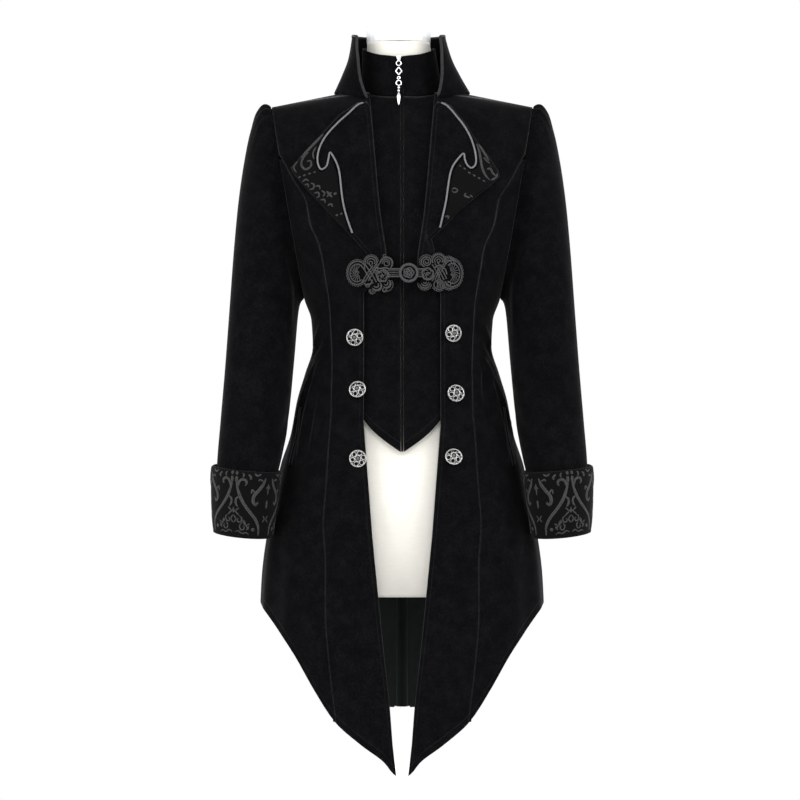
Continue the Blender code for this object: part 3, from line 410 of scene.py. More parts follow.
# Folds: side (0 is both), behind, x and z at the start, x and z at the end, bow, height, half width, where it fades
FOLDS = (
    (-1, 0, 113, 852, 147, 676, 4, 4.8, 6.5, 0.10, 0.45),
    (-1, 0, 108, 846, 131, 690, -3, 4.0, 5.5, 0.10, 0.50),
    (-1, 0, 119, 850, 160, 700, 6, 3.8, 5.5, 0.10, 0.60),
    (-1, 0, 110, 838, 118, 640, -3, -3.6, 7.0, 0.15, 0.60),
    (-1, 0, 123, 862, 107, 905, 3, 3.0, 5.0, 0.20, 0.40),
    (-1, 0, 126, 850, 110, 880, 2, -2.2, 5.0, 0.30, 0.40),
    (1, 0, 112, 856, 148, 682, 5, 4.6, 6.5, 0.10, 0.45),
    (1, 0, 106, 850, 127, 668, -4, 3.9, 5.5, 0.10, 0.55),
    (1, 0, 118, 846, 163, 705, 5, 4.0, 5.5, 0.10, 0.55),
    (1, 0, 111, 836, 120, 650, -2, -3.4, 7.0, 0.15, 0.60),
    (1, 0, 124, 866, 108, 900, 3, 2.8, 5.5, 0.20, 0.40),
    (1, 0, 126, 848, 112, 878, 2, -2.0, 5.0, 0.30, 0.40),
    (1, 0, 96, 1034, 106, 956, 2, 2.2, 6.0, 0.35, 0.40),
    (1, 0, 84, 1046, 88, 985, 2, -1.6, 7.0, 0.40, 0.40),
    (-1, 0, 90, 1036, 97, 960, 2, 1.6, 7.0, 0.35, 0.40),
    (-1, 0, 132, 1080, 108, 1000, -6, 1.8, 8.0, 0.40, 0.40),
    (1, 0, 138, 1076, 112, 1006, -6, 1.8, 8.0, 0.40, 0.40),
    (0, 0, 130, 1165, 96, 1120, 5, 1.3, 11.0, 0.40, 0.40),
    (-1, 1, 110, 858, 139, 690, 4, 3.2, 6.5, 0.10, 0.50),
    (-1, 1, 102, 848, 120, 662, -3, 2.6, 6.0, 0.10, 0.50),
    (-1, 1, 78, 862, 84, 720, 2, 2.0, 6.0, 0.15, 0.60),
    (1, 1, 112, 854, 142, 684, 5, 3.0, 6.0, 0.10, 0.50),
    (1, 1, 104, 850, 118, 670, -3, 2.6, 6.5, 0.10, 0.55),
    (1, 1, 76, 858, 86, 712, 2, 2.2, 6.0, 0.15, 0.60),
    (0, 1, 40, 874, 88, 888, 4, -1.8, 8.0, 0.35, 0.40),
    (0, 1, 30, 852, 92, 862, -3, 1.8, 7.0, 0.35, 0.40),
    (0, 1, 120, 1060, 90, 990, -5, 1.8, 9.0, 0.40, 0.40),
    (0, 1, 26, 560, 40, 380, 6, 2.4, 14.0, 0.50, 0.10),
    (0, 0, 60, 640, 66, 380, 5, 1.6, 15.0, 0.50, 0.15),
    (-1, 0, 150, 640, 158, 560, 5, 2.0, 12.0, 0.45, 0.30),
    (1, 0, 148, 650, 160, 560, 4, 2.2, 11.0, 0.45, 0.30),
)

body_width = curve_through(BODY, 1)
body_front = curve_through(BODY, 2)
body_back = curve_through(BODY, 3)
front_seam = curve_through(FRONT_SEAM)
back_seam = curve_through(BACK_SEAM)
front_hem = curve_through(FRONT_HEM)
back_hem = curve_through(BACK_HEM)


def front_edge(z):
    """Straight runs between the rows of the front edge."""
    for (a, low), (b, high) in zip(FRONT_EDGE, FRONT_EDGE[1:]):
        if z <= b:
            return low + (high - low) * (z - a) / (b - a)
    return FRONT_EDGE[-1][1]


def ease(share):
    share = min(1.0, max(0.0, share))
    return share * share * (3 - 2 * share)


def between(low, high, share):
    return low + (high - low) * share


def solve(function, low, high):
    """Where a rising function crosses zero."""
    for _ in range(48):
        middle = (low + high) / 2
        if function(middle) < 0:
            low = middle
        else:
            high = middle
    return (low + high) / 2


def armhole_x(z):
    """How far out the armhole's leaning plane is at a height."""
    return ARMPIT_X + (SHOULDER_X - ARMPIT_X) * (z - ARMPIT_Z) / (SHOULDER_Z - ARMPIT_Z)


def armhole_depth(z):
    middle = (ARMPIT_Z + SHOULDER_Z) / 2
    share = (z - middle) / (SHOULDER_Z - middle)
    return ARMHOLE_DEPTH * math.sqrt(max(0.0, 1 - share * share))


def depth_at(z, behind):
    return body_back(z) if behind else body_front(z)


def reach(z, behind):
    """Half width of the full section. Over the armpit it passes beyond the armhole, which cuts it off."""
    if z <= ARMPIT_Z:
        return body_width(z)
    share = min(0.97, armhole_depth(z) / depth_at(z, behind))
    return armhole_x(z) / (1 - share ** (2 / SQUARE)) ** (SQUARE / 2)


def armhole_turn(z, behind):
    """How far round from the front, in degrees, the armhole's edge is."""
    if z <= ARMPIT_Z:
        return 90.0
    share = min(0.97, armhole_depth(z) / depth_at(z, behind))
    turn = math.degrees(math.acos(share ** (1 / SQUARE)))
    return 180 - turn if behind else turn


def turn_at(x, z, behind=False):
    """How far round from the front a point at a distance from the middle is."""
    share = min(1.0, max(0.0, x / reach(z, behind)))
    turn = math.degrees(math.asin(share ** (1 / SQUARE)))
    return 180 - turn if behind else turn


def flute(turn, z):
    """How far the skirt's flutes push the cloth out."""
    grown = ease((FLUTE_TOP_Z - z) / (FLUTE_TOP_Z - FLUTE_FULL_Z))
    return grown * sum(high * math.exp(-((turn - where) / wide) ** 2) for where, wide, high in FLUTES) if grown else 0


def bare_point(turn, z):
    """A point in the middle of the coat's wall, on the right side."""
    behind = turn > 90
    sine, cosine = math.sin(math.radians(turn)), math.cos(math.radians(turn))
    x = reach(z, behind) * math.copysign(abs(sine) ** SQUARE, sine)
    deep = depth_at(z, behind) * abs(cosine) ** SQUARE
    if z > ARMPIT_Z:
        deep = max(deep, SHOULDER_HALF_GAP)
    y = deep if behind else -deep
    out = 1 + flute(turn, z) / max(1.0, math.hypot(x, y))
    rise = NECK_RISE * (armhole_x(z) - abs(x)) * ease((z - RISE_FROM_Z) / (SHOULDER_Z - RISE_FROM_Z))
    return Vector((x * out, y * out, z + max(0.0, rise)))


def outward(turn, z):
    """The way out of the coat's wall at a point."""
    behind = turn > 90
    first = 90.01 if behind else turn - 0.6
    last = turn + 0.6 if behind else 90.0
    across = bare_point(min(last, turn + 0.6), z) - bare_point(max(first, turn - 0.6), z)
    up = bare_point(turn, min(z + 1.5, SHOULDER_Z)) - bare_point(turn, min(z + 1.5, SHOULDER_Z) - 3)
    return across.cross(up).normalized()


def on_coat(turn, z, lift=0.0, side=1):
    """A point of the coat's wall, moved out by lift."""
    point = bare_point(turn, z) + (outward(turn, z) * lift if lift else Vector())
    return Vector((point.x * side, point.y, point.z))


def hole_height(hole, turn, lift=0.0):
    """The table height at which the coat's wall meets an upright oval round the neck, and that point."""
    half, front, back = hole
    behind = turn > 90
    x = half * math.sin(math.radians(turn))
    y = (back if behind else front) * abs(math.cos(math.radians(turn)))
    low = solve(lambda z: y - depth_at(z, behind) * abs(math.cos(math.radians(turn_at(x, z, behind)))) ** SQUARE,
                1100, SHOULDER_Z)
    return low, on_coat(turn_at(x, low, behind), low, lift)


def seam_x(seam, z, top_z):
    """A princess seam's distance from the middle. It stops short of the armhole, and above it there is none."""
    if z <= ARMPIT_Z:
        return seam(z)
    if z > top_z:
        return armhole_x(z)
    return min(seam(z), armhole_x(z) - 3)


def front_x(share, z):
    return between(front_edge(z) + SEAM, seam_x(front_seam, z, FRONT_SEAM_TOP) - SEAM / 2, share)


def front_turn(share, z):
    return min(turn_at(front_x(share, z), z), armhole_turn(z, False))


def neck_top(hole, x_of, behind):
    """Where each column of a panel ends: at the neck hole, or at the shoulder seam outside it."""
    def top(share):
        x = x_of(share, SHOULDER_Z)
        if x >= hole[0]:
            return SHOULDER_Z
        turn = math.degrees(math.asin(x / hole[0]))
        return hole_height(hole, 180 - turn if behind else turn)[0]
    return top


def side_front_turn(share, z):
    first = turn_at(seam_x(front_seam, z, FRONT_SEAM_TOP) + SEAM / 2, z)
    return between(first, armhole_turn(z, False) - (0.15 if z <= ARMPIT_Z else 0.0), share)


def side_back_turn(share, z):
    first = armhole_turn(z, True) + (0.15 if z <= ARMPIT_Z else 0.0)
    return between(first, turn_at(seam_x(back_seam, z, BACK_SEAM_TOP) + SEAM / 2, z, True), share)


def back_x(share, z):
    return between(SEAM / 2, seam_x(back_seam, z, BACK_SEAM_TOP) - SEAM / 2, share)


def back_turn(share, z):
    return max(turn_at(back_x(share, z), z, True), armhole_turn(z, True))


def hem_height(turn_of, hem, low):
    """The height at which each column of a panel meets the cut hem."""
    return lambda share: min(HIP_CORNER_Z, solve(lambda z: hem(z) - bare_point(turn_of(share, z), z).x, low, 509))


def fold_line(point_at, start, end, bow):
    """A fold's crest on a surface, bowed to one side, as points in metres."""
    return np.array([point_at(between(start[0], end[0], k / FOLD_PARTS) + bow * math.sin(math.pi * k / FOLD_PARTS),
                              between(start[1], end[1], k / FOLD_PARTS)) * MM for k in range(FOLD_PARTS + 1)])


def coat_folds(side):
    """The folds of one side of the coat's body, as crest, height, half width and fading."""
    lines = []
    for fold_side, behind, x_a, z_a, x_b, z_b, bow, height, half, fade_a, fade_b in FOLDS:
        if fold_side in (0, side):
            line = fold_line(lambda x, z: on_coat(turn_at(x, z, bool(behind)), z, 0, side), (x_a, z_a), (x_b, z_b), bow)
            lines.append((line, height, half, fade_a, fade_b))
    return lines


def press(bm, folds):
    """Push a sheet's points along their normals into its folds."""
    bm.normal_update()
    points = np.array([point.co for point in bm.verts])
    lift = np.zeros(len(points))
    for line, height, half, fade_a, fade_b in folds:
        nearest = np.full(len(points), 1e9)
        share = np.zeros(len(points))
        for k, (first, second) in enumerate(zip(line, line[1:])):
            run = second - first
            t = np.clip((points - first) @ run / (run @ run), 0, 1)
            gap = np.linalg.norm(points - first - t[:, None] * run, axis=1)
            closer = gap < nearest
            nearest[closer] = gap[closer]
            share[closer] = ((k + t) / (len(line) - 1))[closer]
        taper = np.clip(share / fade_a, 0, 1) * np.clip((1 - share) / fade_b, 0, 1)
        taper = taper * taper * (3 - 2 * taper)
        reach_out = nearest / (half * MM)
        lift += height * taper * (np.exp(-reach_out ** 2) - 0.22 * np.exp(-((reach_out - 2) / 0.9) ** 2))
    for point, out in zip(bm.verts, lift):
        point.co += point.normal * float(out) * MM


def face_out(bm, middle):
    """Turn a sheet's faces over if they look in, towards middle(point)."""
    bm.normal_update()
    if sum((face.calc_center_median() - middle(face.calc_center_median())).dot(face.normal)
           * face.calc_area() for face in bm.faces) < 0:
        bmesh.ops.reverse_faces(bm, faces=bm.faces)


def upright(point):
    return Vector((0, 0, point.z))


FAR = 0.5


def cloth(name, columns, rows, place, finishes, nodes, held="hung", rests_on=("linen_torso",), folds=(),
          middle=upright, joined=False, wall=CLOTH, seams=(True, True), hem=False, edge=False, slot="velvet"):
    """A cut piece of cloth. It carries its own measures as UV maps: cut is across and along from its middle and
    foot, near is the way to its nearest side seam and to its hem, rim the way to its open edge and to its top."""
    points = np.array([[place(column, row) * MM for column in range(columns + 1)] for row in range(rows + 1)])
    across = np.concatenate([np.zeros((rows + 1, 1)),
                             np.cumsum(np.linalg.norm(np.diff(points, axis=1), axis=2), axis=1)], axis=1)
    along = np.concatenate([np.zeros((1, columns + 1)),
                            np.cumsum(np.linalg.norm(np.diff(points, axis=0), axis=2), axis=0)], axis=0)
    width = across[:, -1:]
    to_seam = np.minimum(across if seams[0] else across * 0 + FAR, width - across if seams[1] else across * 0 + FAR)
    to_hem = along if hem else along * 0 + FAR
    to_edge = across if edge else across * 0 + FAR
    to_top = along[-1:] - along if edge else along * 0 + FAR
    bm = bmesh.new()
    bmesh.ops.create_grid(bm, x_segments=columns, y_segments=rows, size=0.5)
    maps = [bm.loops.layers.uv.new(label) for label in ("cut", "near", "rim")]
    for face in bm.faces:
        for corner in face.loops:
            column = round((corner.vert.co.x + 0.5) * columns)
            row = round((corner.vert.co.y + 0.5) * rows)
            corner[maps[0]].uv = (across[row, column] - width[row, 0] / 2, along[row, column])
            corner[maps[1]].uv = (to_seam[row, column], to_hem[row, column])
            corner[maps[2]].uv = (to_edge[row, column], to_top[row, column])
    for point in bm.verts:
        column = round((point.co.x + 0.5) * columns)
        row = round((point.co.y + 0.5) * rows)
        point.co = points[row, column]
    if joined:
        bmesh.ops.remove_doubles(bm, verts=bm.verts, dist=0.000001)
    face_out(bm, middle)
    press(bm, folds)
    piece = add(name, bm, finishes, nodes)
    shell = piece.modifiers.new("wall", "SOLIDIFY")
    shell.thickness = wall * MM
    shell.offset = 0.0
    shell.material_offset = 1 if len(finishes) > 1 else 0
    return piece


def panel(name, side, columns, turn_of, hem_of, top_z, top_of=None, **rest):
    """A body panel. turn_of(share, z) is the place across, and hem_of and top_of end each column."""
    hem_rows = round((HIP_CORNER_Z - min(hem_of(share / 8) for share in range(9))) / ROW_STEP) + 2
    low_z = HIP_CORNER_Z
    body_rows = round((top_z - low_z) / ROW_STEP)
    heights = []
    for column in range(columns + 1):
        share = column / columns
        hem = hem_of(share)
        run = [between(hem, low_z, k / hem_rows) for k in range(hem_rows)]
        run += [between(low_z, top_z, k / body_rows) for k in range(body_rows + 1)]
        if top_of:
            top = top_of(share)
            run += [between(top_z, top, 1 - (1 - k / SHOULDER_ROWS) ** 1.6) for k in range(1, SHOULDER_ROWS + 1)]
        heights.append(run)
    return cloth(name, columns, len(heights[0]) - 1,
                 lambda column, row: on_coat(turn_of(column / columns, heights[column][row]), heights[column][row],
                                             0.0, side),
                 [velvet, satin], [name], folds=coat_folds(side), **rest)


velvet = Finish("velvet", Roughness=0.95, Specular_IOR_Level=0.03, Sheen_Weight=0.115, Sheen_Roughness=0.3,
                Sheen_Tint=(0.44, 0.44, 0.46))
spot = velvet.place()
over, up = velvet.cut("cut")
to_seam, to_hem = velvet.cut("near")
to_edge, to_top = velvet.cut("rim")
patches = velvet.noise(55.0, 4.0, spot, 0.65)
pile = velvet.noise(1500.0, 2.0, spot)
grain = velvet.noise(520.0, 2.0, spot)
sideways = velvet.node("SeparateXYZ", {}, {0: spot})
aside, height = abs(sideways), Wire(velvet, sideways.socket.node.outputs[2])
# Painted highlights: the seam lines, and the shoulder seam just in front of the shoulder top, are painted lighter in
# the base colour, as light caught by the pile on the seam ridges.
shoulder_run = height - 1.2222 + (aside - 0.08) * 0.1
ragged = velvet.noise(160.0, 3.0, spot)
seam_light = (to_seam.hump(0.0022) * 0.5 + shoulder_run.hump(0.0026) * (to_top < 0.3) * 3.0) * (ragged * 1.4 - 0.1)
stitch_run = to_hem - 0.0125
edge_run = to_edge - 0.0055
# Topstitching lines, with painted highlights along the hem and the open front edge where the cloth turns.
stitches_and_edge_highlights = (stitch_run.hump(0.0011) * 0.6 + edge_run.hump(0.001) * 0.35 + to_hem.hump(0.0016) * 0.7
            + to_edge.hump(0.0016))
# The base colour mixes these painted highlights with the velvet's random mottling and grain.
light = seam_light * 0.5 + stitches_and_edge_highlights * ragged * 0.6 + (patches - 0.42) * 0.13 + (grain - 0.46) * 0.16
velvet.set(Base_Color=velvet.colours(velvet.node("Clamp", {}, {0: light}), (0.0016, 0.0016, 0.0020),
                                     (0.050, 0.050, 0.053)),
           Roughness=0.95 - seam_light * 0.2,
           Normal=velvet.bump(pile * 0.8 + ragged * 0.25 - seam_light * 1.2 - stitch_run.hump(0.002) * 2.0, 0.5,
                              0.0008))

satin = Finish("lining_satin", Roughness=0.55, Specular_IOR_Level=0.04)
crumple = satin.noise(45.0, 4.0, satin.node("Mapping", {}, {"Vector": satin.place(), "Scale": (1.0, 1.0, 0.35)}))
twill = satin.node("TexWave", {"wave_type": "BANDS", "bands_direction": "DIAGONAL"},
                   {"Vector": satin.place(), "Scale": 420.0, "Distortion": 0.6, "Detail": 1.0}, out=1)
satin.set(Base_Color=satin.colours(crumple, (0.0022, 0.0032, 0.0029), (0.0062, 0.0080, 0.0072)),
          Normal=satin.bump(crumple * 3 + twill * 0.15, 0.35, 0.0015))

for label, side in (("left", -1), ("right", 1)):
    panel(f"front_{label}", side, 22, front_turn, hem_height(front_turn, front_hem, FRONT_HEM[0][0]), PANEL_TOP_Z,
          neck_top(NECK_HOLE, front_x, False), seams=(False, True), hem=True, edge=True)
    panel(f"side_front_{label}", side, 28, side_front_turn, hem_height(side_front_turn, front_hem, FRONT_HEM[0][0]),
          PANEL_TOP_Z, hem=True)
    panel(f"side_back_{label}", side, 28, side_back_turn, hem_height(side_back_turn, back_hem, BACK_HEM[0][0]),
          BACK_SEAM_TOP, hem=True)
    panel(f"back_{label}", side, 26, back_turn, hem_height(back_turn, back_hem, BACK_HEM[0][0]), PANEL_TOP_Z,
          neck_top(NECK_HOLE, back_x, True), hem=True)

# The false waistcoat: two velvet fronts under the coat's fronts, with their own standing collar, closed by a
# zip down the middle. Their hem runs down to a blunt point over the form.
VEST_LIFT = -5.0
VEST_ACROSS = 20
VEST_UP = 96
ZIP_HALF = 4.0
VEST_NECK = (57.5, 54.5, 61.0)
VEST_HEM = ((0, 720), (7, 724.6), (21, 734), (33, 743), (47, 756), (62, 776), (80, 805))
VEST_WIDE = ((700, 66), (868, 66), (1000, 70), (1120, 78), (1207, 93))
NECK_LEAN = -5.0
STAND_TOP = (51.0, 51.0, 53.0)
# Its top edge: degrees round from the front, height
STAND_EDGE = ((0, 1274.5), (5, 1275.5), (33, 1279), (54, 1283.5), (72, 1287.5), (90, 1291), (126, 1294), (180, 1294))
STAND_FIRST_TURN = 4.5
STAND_FOOT_RISE = -1.5
STAND_FOOT_OUT = 1.9
STAND_AROUND = 120
STAND_UP = 14
# Folds of the waistcoat, as the coat's: along its edges under the frog, and drawn in at the waist
VEST_FOLDS = (
    (-1, 9, 1170, 12, 1000, 1, 0.9, 4.0, 0.3, 0.3),
    (1, 12, 1150, 9, 980, 1, 0.8, 4.5, 0.3, 0.3),
    (-1, 30, 940, 26, 860, 1, 1.0, 7.0, 0.4, 0.4),
    (1, 28, 936, 33, 850, 1, 1.0, 7.0, 0.4, 0.4),
    (-1, 14, 880, 10, 760, 1, 1.0, 6.0, 0.4, 0.3),
    (1, 16, 890, 12, 750, -1, 0.9, 6.0, 0.4, 0.3),
)
vest_wide = curve_through(VEST_WIDE)
vest_hem = curve_through(VEST_HEM)
stand_edge = curve_through(STAND_EDGE)


def vest_x(share, z):
    return between(ZIP_HALF / 2, vest_wide(z), share)


def vest_turn(share, z):
    return turn_at(vest_x(share, z), z)


vest_top = neck_top(VEST_NECK, vest_x, False)
for label, side in (("left", -1), ("right", 1)):
    def vest_point(column, row, side=side):
        share = column / VEST_ACROSS
        hem = vest_hem(vest_x(share, ARMPIT_Z))
        top = vest_top(share)
        z = between(hem, top, row / VEST_UP)
        return on_coat(vest_turn(share, z), z, VEST_LIFT, side)

    vest_folds = [(fold_line(lambda x, z: on_coat(turn_at(x, z), z, VEST_LIFT, side), (x_a, z_a), (x_b, z_b), bow),
                   high, half, fade_a, fade_b)
                  for which, x_a, z_a, x_b, z_b, bow, high, half, fade_a, fade_b in VEST_FOLDS if which == side]
    cloth(f"waistcoat_{label}", VEST_ACROSS, VEST_UP, vest_point, [velvet, satin], [f"waistcoat_{label}"],
          folds=vest_folds, seams=(True, False), hem=True)


def stand_point(way, share):
    """A point of the inner collar: way runs from -1 to 1 from the zip round the neck to the zip."""
    turn = 180 * (1 - abs(way))
    foot = hole_height(VEST_NECK, max(STAND_FIRST_TURN, turn), VEST_LIFT + STAND_FOOT_OUT)[1]
    foot += Vector((0, 0, STAND_FOOT_RISE))
    half, front, back = STAND_TOP
    sine, cosine = math.sin(math.radians(turn)), math.cos(math.radians(turn))
    top = Vector((half * sine, -(front if cosine > 0 else back) * cosine, stand_edge(turn)))
    point = foot.lerp(top, share)
    if turn < STAND_FIRST_TURN:
        point.x = ZIP_HALF / 2
    return Vector((math.copysign(point.x, way) + NECK_LEAN * share, point.y, point.z))


cloth("stand_collar", STAND_AROUND, STAND_UP,
      lambda column, row: stand_point(2 * column / STAND_AROUND - 1, row / STAND_UP), [velvet, satin],
      ["stand_collar"], held="stretched", seams=(False, False), rests_on=["waistcoat_left", "waistcoat_right"])

# The outer collar: a stiffened band of velvet that stands on the shoulders and flares into two wings. Its free
# edges are bound with a roll of the same velvet, which is made with the piping.
COLLAR_CLOTH = 2.2
COLLAR_FOOT = (95.0, 62.6, 72.0)
COLLAR_FOOT_LIFT = 2.8
# share of the height, half width, depth in front, depth behind, edge angle, squareness, lean
COLLAR = (
    (0.0, 95.0, 62.6, 72.0, 31.0, 1.0, 0.0),
    (0.3, 83.0, 66.0, 68.0, 40.0, 0.86, -1.5),
    (0.62, 72.0, 70.0, 64.0, 49.0, 0.72, -3.0),
    (0.9, 66.5, 73.0, 61.0, 56.0, 0.62, -4.5),
    (1.0, 65.0, 74.0, 60.0, 57.0, 0.6, -5.0),
)
# Its top edge: share of the way from the middle of the back to a wing, height
COLLAR_EDGE = ((0, 1311), (0.4, 1311), (0.62, 1309), (0.85, 1306), (1, 1303.5))
COLLAR_UP = 26
COLLAR_AROUND = 130
collar_rows = [curve_through(COLLAR, column) for column in range(1, 7)]
collar_edge = curve_through(COLLAR_EDGE)


def collar_point(way, share):
    """A point of the outer collar: way runs from -1 to 1 round the neck, share from its foot to its edge."""
    def oval(turn, half, front, back, square):
        sine, cosine = math.sin(math.radians(turn)), math.cos(math.radians(turn))
        return Vector((half * abs(sine) ** square,
                       -(front if cosine > 0 else back) * math.copysign(abs(cosine) ** square, cosine)))

    half, front, back, edge, square, lean = (value(share) for value in collar_rows)
    foot_edge = COLLAR[0][4]
    foot_turn = foot_edge + (180 - foot_edge) * (1 - abs(way))
    foot = hole_height(COLLAR_FOOT, foot_turn, COLLAR_FOOT_LIFT)[1]
    planned = oval(foot_turn, *COLLAR[0][1:4], COLLAR[0][5])
    spot = oval(edge + (180 - edge) * (1 - abs(way)), half, front, back, square)
    spot += (Vector((foot.x, foot.y)) - planned) * (1 - share) ** 2
    return Vector((math.copysign(spot.x, way) + lean, spot.y, between(foot.z, collar_edge(abs(way)), share)))


cloth("outer_collar", COLLAR_AROUND, COLLAR_UP,
      lambda column, row: collar_point(2 * column / COLLAR_AROUND - 1, row / COLLAR_UP), [velvet], ["collar_outer"],
      held="stretched", wall=COLLAR_CLOTH, rests_on=["front_left", "front_right"])

# The sleeves: velvet, set in with a gathered puff head and curving forward at the elbow. The turned-back cuffs
# are damask, folded up from the hem, and stand a little off the sleeve at their rolled top edge.
# outer edge x and z, inner edge x and z, half depth, middle y, how much lower the front is
SLEEVE = (
    (187.2, 1207.0, 140.2, 936.3, 58.5, 0, 0.0),
    (194.5, 1209.0, 143.5, 933.0, 61.5, 0, 0.0),
    (205.0, 1199.0, 146.5, 925.0, 66.0, -1, 0.0),
    (214.5, 1172.0, 148.5, 911.0, 69.0, -3, 0.0),
    (223.0, 1130.0, 150.5, 888.0, 68.0, -6, 0.0),
    (231.0, 1072.0, 152.5, 861.0, 65.0, -12, 0.0),
    (237.0, 1004.0, 155.0, 830.0, 61.0, -21, 0.02),
    (242.5, 920.0, 158.5, 788.0, 57.0, -36, 0.07),
    (248.0, 836.0, 163.5, 745.0, 53.0, -53, 0.12),
    (253.5, 764.0, 169.5, 712.0, 49.5, -66, 0.17),
    (258.0, 702.0, 175.4, 684.0, 46.0, -76, 0.16),
    (260.5, 616.0, 183.6, 608.0, 38.6, -84, 0.1),
)
CUFF = (
    (265.2, 701.5, 169.4, 692.5, 52.6, -77.4, 0.06),
    (266.4, 693.0, 170.2, 684.5, 52.6, -78.2, 0.06),
    (265.8, 652.0, 175.6, 644.0, 48.0, -81.5, 0.08),
    (262.6, 609.5, 181.0, 601.5, 41.8, -84, 0.1),
)
SLEEVE_AROUND = 108
SLEEVE_DOWN = 132
CUFF_CLOTH = 2.0
CUFF_DOWN = 40
# How far the cuff's top edge rolls in, and the row at which the roll has died out
CUFF_ROLL = 2.4
CUFF_ROLL_ROWS = 2.0
# Gathers of the head: degrees round from the shoulder point (the front is plus), height, half width, length
GATHERS = (
    (-62, 1.8, 2.8, 34), (-47, 3.0, 2.6, 46), (-33, 3.4, 2.5, 40), (-20, 3.0, 2.7, 52), (-8, 3.4, 2.4, 38),
    (5, 3.2, 2.7, 50), (17, 3.6, 2.4, 36), (29, 3.4, 2.8, 55), (41, 3.8, 2.5, 42), (54, 3.2, 2.8, 58),
    (67, 2.0, 3.0, 38),
)
# Folds of the sleeve: side, degrees round and row of the start, degrees round and row of the end, as the coat's
SLEEVE_FOLDS = (
    (-1, 120, 2.2, 150, 5.0, 3, 2.4, 9.0, 0.4, 0.5),
    (-1, 100, 2.0, 128, 4.6, 2, 1.8, 8.0, 0.4, 0.5),
    (-1, 170, 6.4, 120, 7.6, 0, 2.0, 9.0, 0.3, 0.5),
    (-1, 178, 7.2, 140, 8.3, 0, -1.8, 9.0, 0.3, 0.5),
    (-1, 165, 8.4, 118, 9.0, 0, 1.4, 9.0, 0.3, 0.5),
    (1, 122, 2.0, 148, 5.2, 3, 2.2, 9.0, 0.4, 0.5),
    (1, 102, 2.3, 130, 4.4, 2, 1.8, 8.5, 0.4, 0.5),
    (1, 172, 6.0, 125, 7.3, 0, 2.0, 9.0, 0.3, 0.5),
    (1, 176, 7.0, 138, 8.0, 0, -1.8, 9.5, 0.3, 0.5),
    (1, 168, 8.2, 120, 8.8, 0, 1.5, 9.0, 0.3, 0.5),
    (0, 230, 2.0, 215, 5.0, 3, 2.0, 9.0, 0.4, 0.5),
    (0, 200, 6.0, 250, 7.2, 0, 2.2, 10.0, 0.3, 0.5),
    (0, 195, 7.4, 245, 8.2, 0, 1.8, 9.0, 0.3, 0.5),
    (0, 62, 9.3, 84, 10.2, 2, 1.2, 9.0, 0.5, 0.4),
)


def ring_point(rows, row, degrees, side, swell=0.0):
    """A point of a leaning oval tube: 0 degrees is its outer edge and 90 its front. row runs down its table."""
    out_x, out_z, in_x, in_z, depth, middle_y, drop = (value(row) for value in rows)
    turn = math.radians(degrees)
    outer, inner = Vector((out_x, 0, out_z)), Vector((in_x, 0, in_z))
    middle, half = (outer + inner) / 2, (outer - inner) / 2
    forward = Vector((0, -depth - swell, -drop * depth))
    point = middle + half * (1 + swell / half.length) * math.cos(turn) + forward * math.sin(turn)
    return Vector((point.x * side, point.y + middle_y, point.z))


def down_table(table):
    """Smooth functions of the row for every column of a table of rings."""
    return [curve_through([(place, row[column]) for place, row in enumerate(table)]) for column in range(len(table[0]))]


sleeve_rows = down_table(SLEEVE)
cuff_rows = down_table(CUFF)
damask_ground = Finish("damask_ground", Roughness=0.8, Specular_IOR_Level=0.03, Sheen_Weight=0.07,
                       Sheen_Roughness=0.4, Sheen_Tint=(0.5, 0.5, 0.5))
rib_over, rib_up = damask_ground.cut("cut")
ribs = (rib_up * 5200).wave()
cross = (rib_over * 4300).wave()
thread = damask_ground.noise(800.0, 2.0)
damask_ground.set(Base_Color=damask_ground.colours(thread, (0.0012, 0.0012, 0.0013), (0.0046, 0.0046, 0.0049)),
                  Normal=damask_ground.bump(ribs * 0.4 + cross * 0.25 + thread, 0.5, 0.0005))

for label, side in (("left", -1), ("right", 1)):
    sleeve_folds = []
    for degrees, high, half, length in GATHERS:
        end = 0.25 + length / 17
        sleeve_folds.append((fold_line(lambda turn, row: ring_point(sleeve_rows, row, turn, side),
                                       (degrees, 0.0), (degrees * 1.12, end), 1.5), high, half, 0.08, 0.75))
    for which, turn_a, row_a, turn_b, row_b, bow, high, half, fade_a, fade_b in SLEEVE_FOLDS:
        if which in (0, side):
            sleeve_folds.append((fold_line(lambda turn, row: ring_point(sleeve_rows, row, turn, side),
                                           (turn_a, row_a), (turn_b, row_b), bow), high, half, fade_a, fade_b))

    def sleeve_middle(point, side=side):
        low = min(range(len(SLEEVE)), key=lambda k: abs((SLEEVE[k][1] + SLEEVE[k][3]) / 2 * MM - point.z))
        return Vector(((SLEEVE[low][0] + SLEEVE[low][2]) / 2 * side * MM, SLEEVE[low][5] * MM, point.z))

    cloth(f"sleeve_{label}", SLEEVE_AROUND, SLEEVE_DOWN,
          lambda column, row: ring_point(sleeve_rows, (len(SLEEVE) - 1) * row / SLEEVE_DOWN,
                                         360 * column / SLEEVE_AROUND, side),
          [velvet, satin], [f"sleeve_{label}"], folds=sleeve_folds, middle=sleeve_middle, joined=True,
          seams=(False, False), rests_on=[f"side_front_{label}", f"side_back_{label}"])
    cloth(f"cuff_{label}", SLEEVE_AROUND, CUFF_DOWN,
          lambda column, row: ring_point(cuff_rows, (len(CUFF) - 1) * row / CUFF_DOWN, 360 * column / SLEEVE_AROUND,
                                         side, -CUFF_ROLL * math.exp(-(row / CUFF_ROLL_ROWS) ** 2)),
          [damask_ground], [f"cuff_{label}"], held="folded", middle=sleeve_middle, joined=True, wall=CUFF_CLOTH,
          seams=(False, False), rests_on=[f"sleeve_{label}"], slot="damask")

